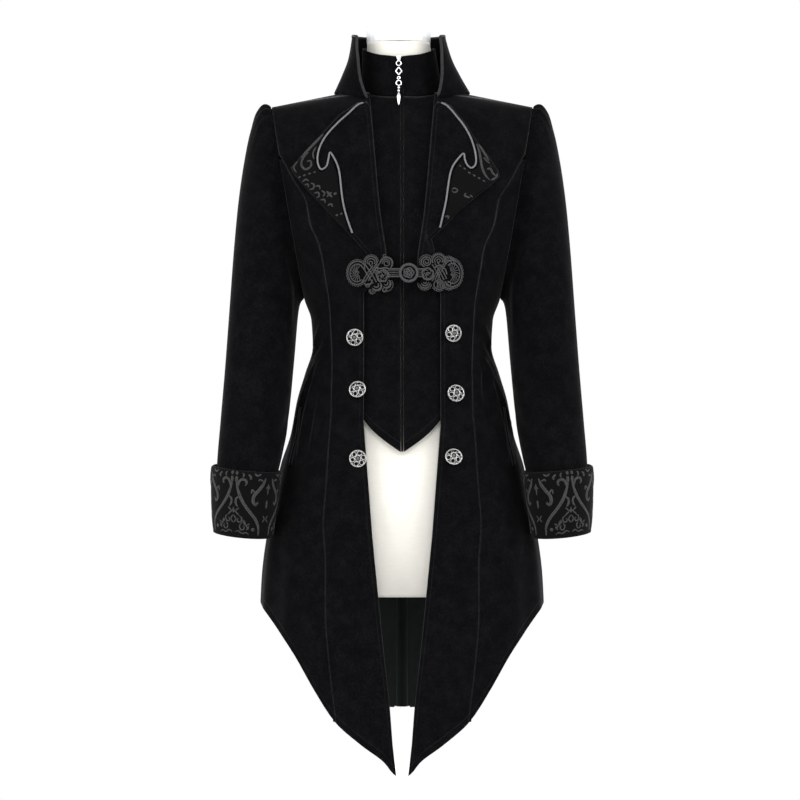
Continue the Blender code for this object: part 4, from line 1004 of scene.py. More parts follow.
# The lapels: wide and pointed, folded out of the fronts and laid flat. Inside the piped line they are velvet,
# and outside it a piece of damask is sewn on, up to the edge.
LAPEL_LIFT = 3.0
LAPEL_SPRING = 4.0
DAMASK = 1.2
DAMASK_GAP = 1.3
# distance from the middle and height, from the collar round the point and down to the fold
LAPEL_EDGE = {
    "left": (
        (49, 1208), (62, 1206.5), (74, 1198), (87, 1189), (151, 1116.5), (148.6, 1109.5), (128, 1083.5),
        (94, 1046), (70, 1020), (49, 996), (30, 976), (22.5, 969),
    ),
    "right": (
        (49, 1208), (60, 1206.5), (69, 1201), (79, 1187.5), (90, 1173), (98.5, 1159), (107, 1146.5), (120, 1128.5),
        (131.5, 1110.5), (132.5, 1103), (121, 1091), (94, 1068), (76, 1052.5), (63, 1037.5), (40.5, 1015.5),
        (44, 1003), (44, 988), (30, 974), (22.5, 969),
    ),
}
# Damask of the lapels: the edge beside the piping from the top down, then the outer edge back up
DAMASK_INNER = {
    "left": (
        (79, 1191.5), (92, 1177.5), (106, 1161), (114.6, 1145.5), (118.2, 1131), (117.3, 1118), (111, 1108.3),
        (103, 1111), (98.6, 1121), (96.5, 1125), (92.5, 1116), (88.6, 1102.5), (86.8, 1088.5), (84.8, 1072.5),
        (81.6, 1057), (77, 1040.5), (73.5, 1029),
    ),
    "right": (
        (98.2, 1153.5), (100.6, 1146), (103, 1137), (104.3, 1124.5), (102.6, 1115), (94.5, 1109.6), (87.2, 1112.6),
        (83.6, 1120), (82.2, 1124), (78, 1120.5), (72.8, 1113), (69.2, 1104), (66.4, 1088.5), (63.5, 1069),
        (59.7, 1051), (57.2, 1039.5),
    ),
}
DAMASK_OUTER = {
    "left": ((75.5, 1027.5), (93.5, 1048), (126.6, 1084.8), (146.6, 1110.3), (148.6, 1115.6), (85.3, 1188)),
    "right": (
        (58.8, 1036.8), (76, 1055), (94, 1070.8), (120, 1093), (130, 1103.8), (129.2, 1109.5), (118.4, 1127),
        (105.6, 1144.5), (99.2, 1154),
    ),
}


def shared_height(x, z):
    """The table height whose point at x ends up at the real height z."""
    return solve(lambda low: low + NECK_RISE * (armhole_x(low) - abs(x))
                 * ease((low - RISE_FROM_Z) / (SHOULDER_Z - RISE_FROM_Z)) - z, z - 60, z + 1)


def on_front(x, z, lift=0.0):
    """The point of the coat's front that is seen at x and z."""
    low = min(SHOULDER_Z - 1, shared_height(x, z))
    return on_coat(turn_at(abs(x), low), low, lift, -1 if x < 0 else 1)


def rounded(points, step):
    """A smooth line through given points."""
    line = []
    ends = [points[0]] + list(points) + [points[-1]]
    for i in range(1, len(ends) - 2):
        p0, p1, p2, p3 = (Vector(p) for p in ends[i - 1:i + 3])
        parts = max(1, round((p2 - p1).length / step))
        for k in range(parts):
            s = k / parts
            line.append(0.5 * (2 * p1 + (p2 - p0) * s + (2 * p0 - 5 * p1 + 4 * p2 - p3) * s * s
                               + (3 * p1 - p0 - 3 * p2 + p3) * s ** 3))
    line.append(Vector(points[-1]))
    return line


def lapel_lift(x, z):
    """The lapel springs off the front a little towards its point."""
    return LAPEL_LIFT + LAPEL_SPRING * ease((x - front_edge(shared_height(x, z))) / 110)


def damask_lift(x, z):
    return lapel_lift(x, z) + CLOTH / 2 + DAMASK / 2 + DAMASK_GAP


def least_rectangle(points):
    """The width and length, in metres, of the smallest rectangle of cloth that a flat piece can be cut from."""
    rectangles = []
    for degrees in range(90):
        sine, cosine = math.sin(math.radians(degrees)), math.cos(math.radians(degrees))
        across = [point.x * cosine + point.z * sine for point in points]
        along = [point.z * cosine - point.x * sine for point in points]
        rectangles.append(sorted(((max(across) - min(across)) * MM, (max(along) - min(along)) * MM)))
    return min(rectangles, key=lambda sides: sides[0] * sides[1])


def laid(name, outline, lift_of, wall, finish, side, cell):
    """A cut shape laid over the front: its outline is divided into cells, then bent to the body. Its width and
    length, and its flat area, come with it."""
    bm = bmesh.new()
    bm.faces.new([bm.verts.new((x, 0, z)) for x, z in outline])
    for axis, way in ((0, Vector((1, 0, 0))), (2, Vector((0, 0, 1)))):
        low = min(point.co[axis] for point in bm.verts)
        high = max(point.co[axis] for point in bm.verts)
        for k in range(1, int((high - low) / cell) + 1):
            bmesh.ops.bisect_plane(bm, geom=bm.verts[:] + bm.edges[:] + bm.faces[:], dist=0.2,
                                   plane_co=way * (low + k * cell), plane_no=way)
    bmesh.ops.remove_doubles(bm, verts=bm.verts, dist=0.3)
    bmesh.ops.triangulate(bm, faces=bm.faces)
    rim = [point.co.copy() for point in bm.verts if point.is_boundary]
    cut = bm.loops.layers.uv.new("cut")
    near = bm.loops.layers.uv.new("near")
    rims = bm.loops.layers.uv.new("rim")
    gap = {point: min((point.co - spot).length for spot in rim) for point in bm.verts}
    for face in bm.faces:
        for corner in face.loops:
            corner[cut].uv = (corner.vert.co.x * MM, corner.vert.co.z * MM)
            corner[near].uv = (FAR, FAR)
            corner[rims].uv = (gap[corner.vert] * MM, 0.0)
    area = sum(face.calc_area() for face in bm.faces) * MM * MM
    flat = least_rectangle([point.co for point in bm.verts])
    for point in bm.verts:
        x, z = point.co.x, point.co.z
        point.co = on_front(x * side, z, lift_of(x, z)) * MM
    face_out(bm, upright)
    piece = add(name, bm, [finish], [name])
    shell = piece.modifiers.new("wall", "SOLIDIFY")
    shell.thickness = wall * MM
    shell.offset = 0.0
    return piece, flat, area


lapel_fold = [(front_edge(shared_height(30, z)) + 1.2, z) for z in range(985, 1205, 8)]
for label, side in (("left", -1), ("right", 1)):
    damask_outline = rounded(DAMASK_INNER[label], 2.0) + [Vector(p) for p in DAMASK_OUTER[label]]
    lapel, flat, area = laid(f"lapel_{label}", list(LAPEL_EDGE[label]) + lapel_fold, lapel_lift, CLOTH, velvet, side,
                             5.0)
    overlay, _, _ = laid(f"lapel_damask_{label}", damask_outline, damask_lift, DAMASK, damask_ground, side, 4.0)

# The piping: a cord covered in grey satin, sewn round the inner edge of the damask on each lapel. A roll of the
# coat's own velvet binds the free edges of the outer collar; its colour is painted lighter, a painted highlight along
# the turned edge.
PIPING_PATH = {
    "left": (
        (54, 1205), (62, 1201.5), (74, 1190), (89, 1176), (103, 1160), (111.5, 1145), (115, 1131),
        (114.3, 1119.5), (110, 1112), (103, 1116), (100.5, 1126), (98.6, 1135), (93.5, 1128.5),
        (88, 1116.5), (85, 1103), (83.5, 1089), (81.5, 1073), (78.5, 1058), (73.5, 1040.5), (67.5, 1024),
    ),
    "right": (
        (54, 1205), (61, 1201.5), (68, 1194.5), (75.7, 1184.8), (84.5, 1173.4), (91.5, 1161), (96, 1149.9),
        (99.5, 1137), (100.8, 1124.5), (99.2, 1117.3), (94.2, 1113.5), (88.8, 1117.7), (85.8, 1125), (84.1, 1133.5),
        (77.3, 1127.3), (69.8, 1116.6), (65.8, 1105.5), (63, 1089), (60.1, 1069.4), (56.3, 1051.5), (51.4, 1031),
    ),
}
PIPING_RADIUS = 1.35
PIPING_LIFT = CLOTH / 2 + PIPING_RADIUS + 0.4
BINDING_RADIUS = 1.9
WING_STEPS = 30
RIM_STEPS = 140


def cords():
    """An empty bmesh for cords, with the UV map that their finishes follow: the share round and the way along."""
    bm = bmesh.new()
    bm.loops.layers.uv.new("cord")
    return bm


def add_cord(bm, line, radius, sides=8, closed=False, ups=None, flat=1.0):
    """Add a cord that follows points. radius is a number, or a function of the share of the way along.
    ups are the ways out of the cloth it is laid on, and flat is its height over its width."""
    points = [Vector(point) for point in line]
    count = len(points)
    runs = [0.0]
    for first, second in zip(points, points[1:]):
        runs.append(runs[-1] + (second - first).length)
    rings = []
    across = None
    for k, point in enumerate(points):
        after = points[(k + 1) % count] if closed or k + 1 < count else point
        before = points[k - 1] if closed or k else point
        along = (after - before).normalized()
        if ups:
            across = along.cross(ups[k]).normalized()
        else:
            across = along.orthogonal() if across is None else across
            across = (across - along * across.dot(along)).normalized()
        out = across.cross(along)
        wide = radius(runs[k] / runs[-1]) if callable(radius) else radius
        rings.append((point, across * wide, out * wide * flat, runs[k]))
    if closed:
        gap = (points[0] - points[-1]).length
        rings.append((*rings[0][:3], runs[-1] + gap))
    else:
        first, last = rings[0], rings[-1]
        none = Vector()
        rings = [(first[0], none, none, first[3])] + rings + [(last[0], none, none, last[3])]
    made = bmesh.ops.create_grid(bm, x_segments=sides, y_segments=len(rings) - 1, size=0.5)["verts"]
    layer = bm.loops.layers.uv["cord"]
    spots = {point: (round((point.co.x + 0.5) * sides), round((point.co.y + 0.5) * (len(rings) - 1))) for point in made}
    for face in {face for point in made for face in point.link_faces}:
        for corner in face.loops:
            column, row = spots[corner.vert]
            corner[layer].uv = (column / sides, rings[row][3] * MM)
    for point, (column, row) in spots.items():
        turn = 2 * math.pi * column / sides
        middle, across, out, _ = rings[row]
        point.co = (middle + across * math.cos(turn) + out * math.sin(turn)) * MM
    bmesh.ops.remove_doubles(bm, verts=made, dist=0.000002)


def add_cords(name, bm, finishes, nodes=(), body=COAT):
    bmesh.ops.recalc_face_normals(bm, faces=bm.faces)
    return add(name, bm, finishes, nodes, body)


piping_satin = Finish("piping_satin", Roughness=0.36, Specular_IOR_Level=0.45)
round_it, along_it = piping_satin.cut("cord")
bias = ((round_it * 2 + along_it / 0.0035) * 6.2832).wave()
sheen_spots = piping_satin.noise(260.0, 3.0)
piping_satin.set(Base_Color=piping_satin.colours(sheen_spots, (0.055, 0.055, 0.057), (0.14, 0.14, 0.145)),
                 Normal=piping_satin.bump(bias * 0.3 + sheen_spots, 0.4, 0.0003))
rim_highlight_velvet = Finish("rim_highlight_velvet", Roughness=0.8, Specular_IOR_Level=0.12, Sheen_Weight=0.5, Sheen_Roughness=0.3,
                     Sheen_Tint=(0.5, 0.5, 0.52))
# Painted highlight: the binding's base colour is lighter than the coat's velvet in noisy patches, standing in for light
# caught along the collar's turned edge.
highlight_patches = rim_highlight_velvet.noise(190.0, 4.0)
rim_highlight_velvet.set(Base_Color=rim_highlight_velvet.colours(highlight_patches, (0.004, 0.004, 0.0045), (0.036, 0.036, 0.038)),
                Normal=rim_highlight_velvet.bump(highlight_patches + rim_highlight_velvet.noise(1500.0, 2.0) * 0.6, 0.5, 0.0006))

for label, side in (("left", -1), ("right", 1)):
    bm = cords()
    add_cord(bm, [on_front(p.x * side, p.y, lapel_lift(p.x, p.y) + PIPING_LIFT)
                  for p in rounded(PIPING_PATH[label], 1.5)], PIPING_RADIUS, sides=10)
    add_cords(f"piping_{label}", bm, [piping_satin], [f"piping_{label}"])

bm = cords()
rim_line = [collar_point(-1, k / WING_STEPS) for k in range(WING_STEPS)]
rim_line += [collar_point(-1 + 2 * k / RIM_STEPS, 1) for k in range(RIM_STEPS)]
rim_line += [collar_point(1, 1 - k / WING_STEPS) for k in range(WING_STEPS)]
add_cord(bm, rim_line, BINDING_RADIUS, sides=12)
add_cords("collar_binding", bm, [rim_highlight_velvet])

# Inside, the seam allowances are pressed flat, and round the armholes they are bound. They shut the seams to light.
PRESSED_DEPTH = 2.3
PRESSED_HALF = 4.5
PRESSED_FLAT = 0.12
PRESSED_STEPS = 60
ARMHOLE_BINDING = 2.0
bound_seam = Finish("bound_seam", Roughness=0.95, Specular_IOR_Level=0.02)
fluff = bound_seam.noise(700.0, 3.0)
bound_seam.set(Base_Color=bound_seam.colours(fluff, (0.0015, 0.0015, 0.0017), (0.005, 0.005, 0.0054)),
               Normal=bound_seam.bump(fluff, 0.4, 0.0004))
front_foot = hem_height(front_turn, front_hem, FRONT_HEM[0][0])(1.0)
back_foot = hem_height(back_turn, back_hem, BACK_HEM[0][0])
SEAM_TURNS = (
    ("front_princess", lambda z: turn_at(seam_x(front_seam, z, FRONT_SEAM_TOP), z), front_foot, 1126, (-1, 1)),
    ("side_seam", lambda z: armhole_turn(z, False), HIP_CORNER_Z, ARMPIT_Z - 2, (-1, 1)),
    ("back_princess", lambda z: turn_at(seam_x(back_seam, z, BACK_SEAM_TOP), z, True), back_foot(1.0), 1091, (-1, 1)),
    ("centre_back", lambda z: 180.0, back_foot(0.0), 1190, (1,)),
)
for name, turn_of, foot, head, sides_of in SEAM_TURNS:
    bm = cords()
    for side in sides_of:
        heights = [between(foot + 2, head, k / PRESSED_STEPS) for k in range(PRESSED_STEPS + 1)]
        spots = [on_coat(turn_of(z), z, -PRESSED_DEPTH, side) for z in heights]
        outs = [(on_coat(turn_of(z), z, 1 - PRESSED_DEPTH, side) - spot).normalized()
                for z, spot in zip(heights, spots)]
        add_cord(bm, spots, PRESSED_HALF, sides=6, ups=outs, flat=PRESSED_FLAT)
    add_cords(f"pressed_seam_{name}", bm, [bound_seam])
for label, side in (("left", -1), ("right", 1)):
    bm = cords()
    add_cord(bm, [ring_point(sleeve_rows, 0.0, k * 3.0, side, -2.6) - Vector((side * 0.6, 0, 0)) for k in range(120)],
             ARMHOLE_BINDING, closed=True)
    add_cords(f"armhole_binding_{label}", bm, [bound_seam])

# The damask's figure: silky grey threads that stand a little off the dull ground. On the cuffs paired stems part
# into long curved bands with curled leaves and small frets between them, and the lapels are cut from the same cloth.
FIGURE_FLAT = 0.36
# Half of the cuff's figure: width, then its points as distance from its middle and distance down, in millimetres
CUFF_FIGURE = (
    (2.7, (3.3, 1), (3.3, 6.5)),
    (2.9, (3.3, 8), (3.2, 19.5)),
    (3.1, (3.1, 19), (5, 27.5), (10.5, 38.5), (19, 49), (28.5, 59), (36, 67.5), (40.5, 77), (41, 87)),
    (2.5, (5.4, 26.5), (7, 19), (11.4, 14.6), (16.2, 16), (17.8, 21), (15.6, 23.4)),
    (2.1, (8.6, 37), (3.9, 39.6), (3.3, 44.6), (6.6, 49.5)),
    (3.5, (46, 9), (43, 20), (36.5, 28.5), (30, 35), (29, 41.6), (33, 45.4), (36.6, 42)),
    (1.7, (42.5, 16), (36.5, 12.6), (34.6, 16)),
    (1.8, (32, 32.6), (26.6, 28.4), (25.6, 33)),
    (2.2, (19.5, 5), (23.6, 8.6), (22.2, 13.6)),
    (1.9, (28, 2.5), (32.4, 6), (38, 3.4)),
    (1.6, (11, 3), (13.4, 6), (11.8, 9.4)),
    (1.4, (0, 50), (0.1, 58)),
    (1.5, (0.4, 53.5), (9.2, 61.4)),
    (1.4, (3.6, 54.8), (8.6, 50.6)),
    (1.4, (9, 61.6), (12.8, 64), (12, 69.2), (7.8, 70), (6, 66.8), (8.4, 65)),
    (1.3, (0.4, 61), (3.8, 66.4), (0.4, 71.6)),
    (1.5, (13.4, 67.6), (24.6, 79)),
    (1.4, (15.6, 66.6), (19.4, 71.6)),
    (1.4, (21, 73.6), (26, 71.6)),
    (1.4, (20.8, 80.6), (25, 75)),
    (1.4, (13, 71), (9.9, 75.4), (11.9, 80.3), (16.4, 79.5), (17, 75.7), (14.5, 75)),
    (3.4, (28.6, 79.8), (33.8, 78.7)),
    (1.3, (2, 84.4), (7.6, 82.2), (13.6, 85.4), (20, 84), (25, 86.4)),
    (1.4, (47, 60), (50.4, 64.6), (46.6, 69)),
    (1.5, (51.6, 20), (51.8, 34)),
    (1.4, (48.4, 27), (51.8, 22.4)),
    (2.0, (51.6, 40), (51.8, 50)),
)
CUFF_REPEATS = 3
# Where the first one's middle is, in degrees round the cuff from its outer edge
CUFF_FIRST = 74.0
CUFF_RADIUS = 49.6
# How far down the cuff its table's rows are, and the last row that a figure may reach
CUFF_ROWS_DOWN = (0, 8.5, 49.5, 92)
CUFF_LAST_ROW = 2.96
# The lapels' figures: width, then distance from the middle and height
LAPEL_FIGURE = {
    "left": (
        (2.6, (108, 1160), (117, 1150), (127, 1139.5), (137, 1128.6)),
        (1.7, (117, 1143), (121, 1134), (119.6, 1126)),
        (2.2, (127, 1136), (134, 1128), (136, 1119), (130.4, 1112.4), (123.4, 1116.6), (124, 1123.6), (129, 1123.4)),
        (1.5, (141, 1124), (146, 1116.4), (142, 1109)),
        (1.8, (139.6, 1101.8), (136.4, 1103)), (1.8, (133.4, 1103.8), (129.6, 1105)),
        (1.8, (126.6, 1105.8), (123, 1106.8)), (1.8, (120, 1107.6), (116.8, 1108.6)),
        (1.6, (134, 1095.6), (129.6, 1098.6), (125.6, 1096)),
        (1.6, (131, 1091), (126.4, 1091.6), (126, 1087)),
        (1.7, (123, 1093), (118.6, 1090.4), (120, 1085), (124.4, 1084.6)),
        (1.6, (117, 1088), (112, 1088.6), (110.6, 1083.6)),
        (1.7, (118, 1079), (113, 1079.6), (111.6, 1074.8), (115, 1072.6)),
        (1.6, (108.6, 1082), (104.4, 1078.4), (106.6, 1073.6)),
        (1.6, (109.6, 1069.6), (104.6, 1069.8), (103.4, 1065.4)),
        (2.2, (102, 1081), (94.6, 1072.6)), (1.8, (101.4, 1073.4), (95.4, 1079.4)),
        (2.4, (92.8, 1076.6), (88.4, 1078)),
        (1.8, (100, 1062), (95.6, 1063.6), (93.6, 1060)),
        (2.2, (89.4, 1048), (86.4, 1049)), (2.2, (83.6, 1049.6), (80.6, 1050.8)),
    ),
    "right": (
        (2.4, (101.6, 1147), (104.6, 1138), (106.6, 1126), (108.6, 1113.6), (112.6, 1103.6), (118, 1097.4)),
        (2.2, (104.4, 1146), (111.6, 1134.4), (117.6, 1123.6)),
        (1.5, (110.6, 1128.4), (115, 1123), (119, 1120)),
        (1.6, (119.6, 1117), (120.6, 1115)),
        (2.2, (114.6, 1112), (119.4, 1112.6), (122.6, 1106.6), (126.6, 1103.4)),
        (2.0, (128.6, 1107), (126.6, 1101.4), (119.6, 1096.8)),
        (1.8, (77.6, 1117), (80.6, 1115.2)), (1.8, (83.6, 1113.4), (86.8, 1111.4)),
        (1.8, (89.6, 1107.6), (93, 1105.8)), (1.8, (96, 1104), (99.4, 1102)),
        (1.8, (102.4, 1100.2), (105.8, 1098.2)), (1.8, (108.8, 1096.4), (112, 1094.6)),
        (1.5, (67.4, 1083), (71.4, 1084.6), (75.4, 1081.6), (71.4, 1078.6), (67.4, 1081)),
        (1.8, (86.6, 1078), (84.6, 1074.4), (91.6, 1072)), (1.6, (92, 1075.6), (95, 1072.4)),
        (1.7, (57.8, 1046), (62.8, 1046.4), (62, 1042.8)),
    ),
}


def add_figure(bm, strokes, place):
    """Lay flat tapering bands along each stroke. place(across, down, lift) gives points of the cloth."""
    for wide, *points in strokes:
        line = [(place(p.x, p.y, 0.0), place(p.x, p.y, 1.0)) for p in rounded(points, 1.5)]
        ups = [(out - spot).normalized() for spot, out in line]
        add_cord(bm, [spot for spot, _ in line],
                 lambda share: wide * 0.7 * min(1.0, 0.45 + 2.6 * min(share, 1 - share)),
                 sides=6, ups=ups, flat=FIGURE_FLAT)


damask_figure = Finish("damask_figure", Roughness=0.6, Specular_IOR_Level=0.14, Sheen_Weight=0.06)
round_it, run = damask_figure.cut("cord")
rib = (round_it - 0.25).hump(0.09)
weft = (run * 9000).wave()
worn = damask_figure.noise(330.0, 3.0)
damask_figure.set(Base_Color=damask_figure.colours(worn * 1.3 - rib * 0.5, (0.007, 0.007, 0.0075),
                                                   (0.046, 0.046, 0.048)),
                  Normal=damask_figure.bump(weft * 0.3 + worn, 0.55, 0.0004))

for label, side in (("left", -1), ("right", 1)):
    bm = cords()
    for repeat in range(CUFF_REPEATS):
        for mirrored in (-1, 1):
            def on_cuff(across, down, lift, side=side, repeat=repeat, mirrored=mirrored):
                degrees = CUFF_FIRST + 360 * repeat / CUFF_REPEATS + mirrored * math.degrees(across / CUFF_RADIUS)
                row = float(np.interp(down, CUFF_ROWS_DOWN, range(len(CUFF_ROWS_DOWN))))
                return ring_point(cuff_rows, min(row, CUFF_LAST_ROW), degrees, side, CUFF_CLOTH / 2 + lift)
            add_figure(bm, CUFF_FIGURE, on_cuff)
    add_cords(f"cuff_figure_{label}", bm, [damask_figure])
    bm = cords()
    add_figure(bm, LAPEL_FIGURE[label],
               lambda x, z, lift: on_front(x * side, z, damask_lift(x, z) + DAMASK / 2 + lift))
    add_cords(f"lapel_figure_{label}", bm, [damask_figure])

# The frog: passementerie, made of charcoal rayon cords laid on edge, coiled and sewn to a stiff dark backing. Each
# lobe has a shell fan with a looped edge, curls, a plait and a rosette, and twin bars lead to the wrapped ring.
# The ball in the ring is a Turk's head of three cords, which stays fastened.
FROG_LIFT = 6.8
FROG_BASE = 1.6
FROG_RING = (9.0, 970.0, 11.6, 2.1)
RING_WRAPS = 30
KNOT_REACH = 8.0
KNOT_BIGHTS = 5
# The middle and the swing of the cord's way round the ball, the ball's height and its core's half sizes
KNOT_MIDDLE, KNOT_SWING, KNOT_HIGH = 4.3, 2.6, 4.6
KNOT_CORE = (6.6, 3.6, 6.6)
# Outlines of the backings, as overlapping rounds: distance from the middle, height, radius
FROG_BACKS = {
    "left": (
        (-40, 969, 16), (-60.4, 975.4, 12), (-60.4, 964.6, 12), (-60.6, 970, 13.4), (-42, 984.6, 9.6),
        (-21.4, 982.6, 9.0), (-26, 966, 9.6), (-34, 951.6, 7.8), (-20.6, 953, 7.6), (-40, 944.6, 4.6), (-10, 970, 5.4),
    ),
    "right": (
        (48, 969, 16), (67.6, 978.4, 11.6), (67.6, 960.6, 11.6), (68, 969.4, 13.4), (33, 984.6, 9.0), (49, 987.4, 9.2),
        (63, 984.4, 9.0), (34, 967.3, 9.6), (53, 962, 12), (31, 953.6, 8.2), (49, 952.6, 8.6), (63, 954, 8.0),
        (25, 970, 5.4),
    ),
}


def arc(centre, reach, start, stop, lift):
    """Points of a round cord: its angles are in degrees, anticlockwise from the right as seen in front. reach may
    be two radii, for a spiral."""
    first, last = reach if isinstance(reach, tuple) else (reach, reach)
    parts = max(3, round(abs(math.radians(stop - start)) * max(first, last) / 0.9))
    line = []
    for k in range(parts + 1):
        turn = math.radians(between(start, stop, k / parts))
        wide = between(first, last, k / parts)
        line.append((centre[0] + wide * math.cos(turn), centre[1] + wide * math.sin(turn), lift))
    return line


def picots(centre, reach, start, stop, lift, pitch=3.1, high=1.5):
    """The looped edge: a fine cord that runs out to small rounded loops all along an arc."""
    loops = max(2, round(abs(math.radians(stop - start)) * reach / pitch))
    line = []
    for k in range(loops * 8 + 1):
        turn = math.radians(between(start, stop, k / (loops * 8)))
        out = reach + high * abs(math.sin(math.pi * k / 8)) ** 0.7
        line.append((centre[0] + out * math.cos(turn), centre[1] + out * math.sin(turn), lift))
    return line


def fan(centre, opening, tall, turns=11):
    """A shell: two thick cords round it, open towards one side, a looped edge and swirled cords from its hub."""
    made = [(arc(centre, 12.6, opening + 38, opening + 322, 7.4), 0.95),
            (arc(centre, 9.5, opening + 50, opening + 310, 8.0), 0.85),
            (picots(centre, 13.4, opening + 40, opening + 320, 6.9), 0.45)]
    for k in range(turns):
        turn = opening + 66 + k * 228 / (turns - 1)
        ray = []
        for share in (0, 0.33, 0.66, 1):
            way = math.radians(turn + 26 * (1 - share) ** 1.5)
            out = between(2.8, 8.8, share)
            ray.append((centre[0] + out * math.cos(way), centre[1] + out * math.sin(way),
                        between(9.6, 7.7, share ** 1.6)))
        made.append((ray, 0.55))
    made.append((arc(centre, (2.6, 0.9), opening, opening + 560, 9.7), 0.6))
    return [([(x, centre[1] + (z - centre[1]) * tall, lift) for x, z, lift in line], thick) for line, thick in made]


def crescent(centre, reach, start, stop, lift, thick=1.5):
    return [(arc(centre, reach, start, stop, lift), lambda share: thick * (0.4 + 0.6 * math.sin(math.pi * share)))]


def rosette(centre, reach):
    """Overlapping crescents round a small boss."""
    made = []
    for k in range(5):
        turn = 20 + k * 72
        at = (centre[0] + reach * 0.42 * math.cos(math.radians(turn)),
              centre[1] + reach * 0.42 * math.sin(math.radians(turn)))
        made += crescent(at, reach * 0.56, turn - 125, turn + 95, 8.4 + 0.22 * k, 1.15)
    made.append((arc(centre, (2.4, 0.8), 0, 620, 9.6), 0.62))
    return made


def plait(centre, wide, high, strands=3):
    """Two sets of slanting cords that pass over and under each other."""
    made = []
    for way in (-1, 1):
        for k in range(strands):
            shift = (k - (strands - 1) / 2) * wide / strands
            line = []
            for step in range(17):
                share = step / 16
                over = math.sin(math.pi * (share * strands + k) + (math.pi / 2 if way > 0 else -math.pi / 2))
                bow = 1.6 * math.sin(math.pi * share)
                line.append((centre[0] + way * (share - 0.5) * wide + shift * 0.9 + way * bow * 0.4,
                             centre[1] + (0.5 - share) * high + shift * 0.35, 8.3 + 0.75 * over))
            made.append((line, 0.85))
    return made


def bars(left, right):
    made = [([(left, z, 7.6), ((left + right) / 2, z, 8.0), (right, z, 7.6)], 1.15) for z in (965.0, 974.9)]
    return made + [([(left, z, 6.8), (right, z, 6.8)], 0.6) for z in (967.5, 970.0, 972.4)]


FROG_CORDS = {
    "left": (
        fan((-60.4, 970), 0, 1.24)
        + [(arc((-42, 984), 8.0, -38, 200, 7.6), 0.85), (arc((-42, 984), 5.2, -30, 205, 8.0), 0.8),
           (arc((-42.4, 983), 2.5, -60, 215, 8.4), 0.75), (picots((-42, 984), 8.9, 5, 180, 6.9), 0.5),
           ([(-50, 981, 7.6), (-50.4, 974, 7.8), (-46.5, 967, 8.2)], 0.85),
           ([(-35, 980, 7.8), (-32.6, 975, 8.4), (-34.6, 970, 8.8)], 0.85)]
        + [(arc((-21.3, 982.8), 8.3, -50, 175, 7.2), 0.9), (arc((-21.3, 982.8), (5.6, 1.9), 190, -380, 8.4), 0.72),
           (picots((-21.3, 982.8), 6.6, -30, 165, 7.6, 1.7, 0.6), 0.42),
           (arc((-24.2, 992.9), 1.7, 0, 360, 6.9), 0.55)]
        + plait((-42.4, 969.5), 15.5, 24)
        + [([(-37, 977, 8.6), (-30, 975.6, 9.2), (-22.6, 976.6, 8.6), (-17.6, 974.6, 8.0)], 1.05),
           ([(-37.6, 974.4, 8.4), (-31, 971.6, 9.0), (-24, 974, 9.2), (-18.6, 969, 8.4), (-18, 963, 8.0)], 1.0)]
        + rosette((-27, 965.4), 7.6)
        + crescent((-34.4, 952.4), 6.2, -150, 45, 7.6, 1.6) + crescent((-35, 953.6), 3.2, -160, 40, 8.2, 1.1)
        + crescent((-46.4, 960), 6.2, -150, 10, 7.8, 1.3)
        + crescent((-21.4, 955.2), 5.6, -140, 65, 7.8, 1.5) + crescent((-22, 956), 2.6, -150, 60, 8.4, 1.0)
        + [(picots((-40.4, 945.4), 3.4, 150, 400, 7.2, 2.2, 0.9), 0.6),
           (arc((-40.4, 945.4), (2.6, 0.9), 120, 480, 7.8), 0.6),
           (picots((-21.4, 953.6), 8.2, -130, 40, 6.9, 2.4, 0.9), 0.55), (arc((-24, 946.6), 2.6, 100, 400, 7.2), 0.8),
           (arc((-46, 953.6), (3.6, 1.2), 160, 500, 7.4), 0.7)]
        + bars(-19.5, -1.6)
    ),
    "right": (
        fan((67.6, 969.4), 180, 1.42)
        + [(arc((33, 984.8), (7.6, 1.4), 250, -560, 7.8), 0.82), (picots((33, 984.8), 8.2, 40, 215, 6.9), 0.5)]
        + [(arc((49, 986.4), 8.2, -25, 205, 7.4), 0.85), (arc((49, 986.4), 5.2, -30, 210, 7.9), 0.75),
           (arc((49, 986.4), 2.2, 0, 360, 8.4), 0.72), (picots((49, 986.4), 9.0, 0, 180, 6.9), 0.5)]
        + [(arc((62.4, 983.6), 7.0, -20, 175, 7.4), 0.85), (picots((62.4, 983.6), 7.9, -10, 160, 6.9), 0.5),
           (arc((62, 983), 4.2, -20, 180, 7.9), 0.7)]
        + rosette((34.4, 968.6), 8.0)
        + crescent((34.4, 968.6), 7.4, -150, 10, 9.4, 1.5) + crescent((35, 967), 3.4, 30, 240, 9.9, 1.0)
        + plait((50, 971.6), 12, 22)
        + [([(44, 977, 9), (50, 980, 9.4), (57.4, 975, 8.8), (60, 968, 8.2)], 0.95)]
        + crescent((30.6, 956), 7.0, -165, 5, 7.4, 1.2) + crescent((30.6, 957), 4.6, -165, 5, 7.9, 1.1)
        + crescent((30.6, 958), 2.2, -165, 5, 8.3, 0.9)
        + [(picots((30.6, 955.6), 8.2, 180, 350, 6.9), 0.52)]
        + [(arc((49.4, 954), 6.6, 0, 360, 7.4), 0.8), (picots((49.4, 953.6), 7.6, 200, 340, 6.9), 0.5)]
        + [([(46.4 + k * 2.1, 959.6 - k * 0.3, 7.8), (47.6 + k * 2.1, 954.4, 8.8), (46.6 + k * 2.3, 949.4, 7.8)], 0.75)
           for k in range(4)]
        + [(arc((62.6, 955.4), 6.6, 175, 330, 7.4), 0.85), (picots((62.6, 955.4), 7.6, 190, 350, 6.9), 0.5),
           (arc((62.6, 956.4), (4.4, 1.2), 150, 520, 7.9), 0.7)]
        + bars(20.6, 30.5)
    ),
}


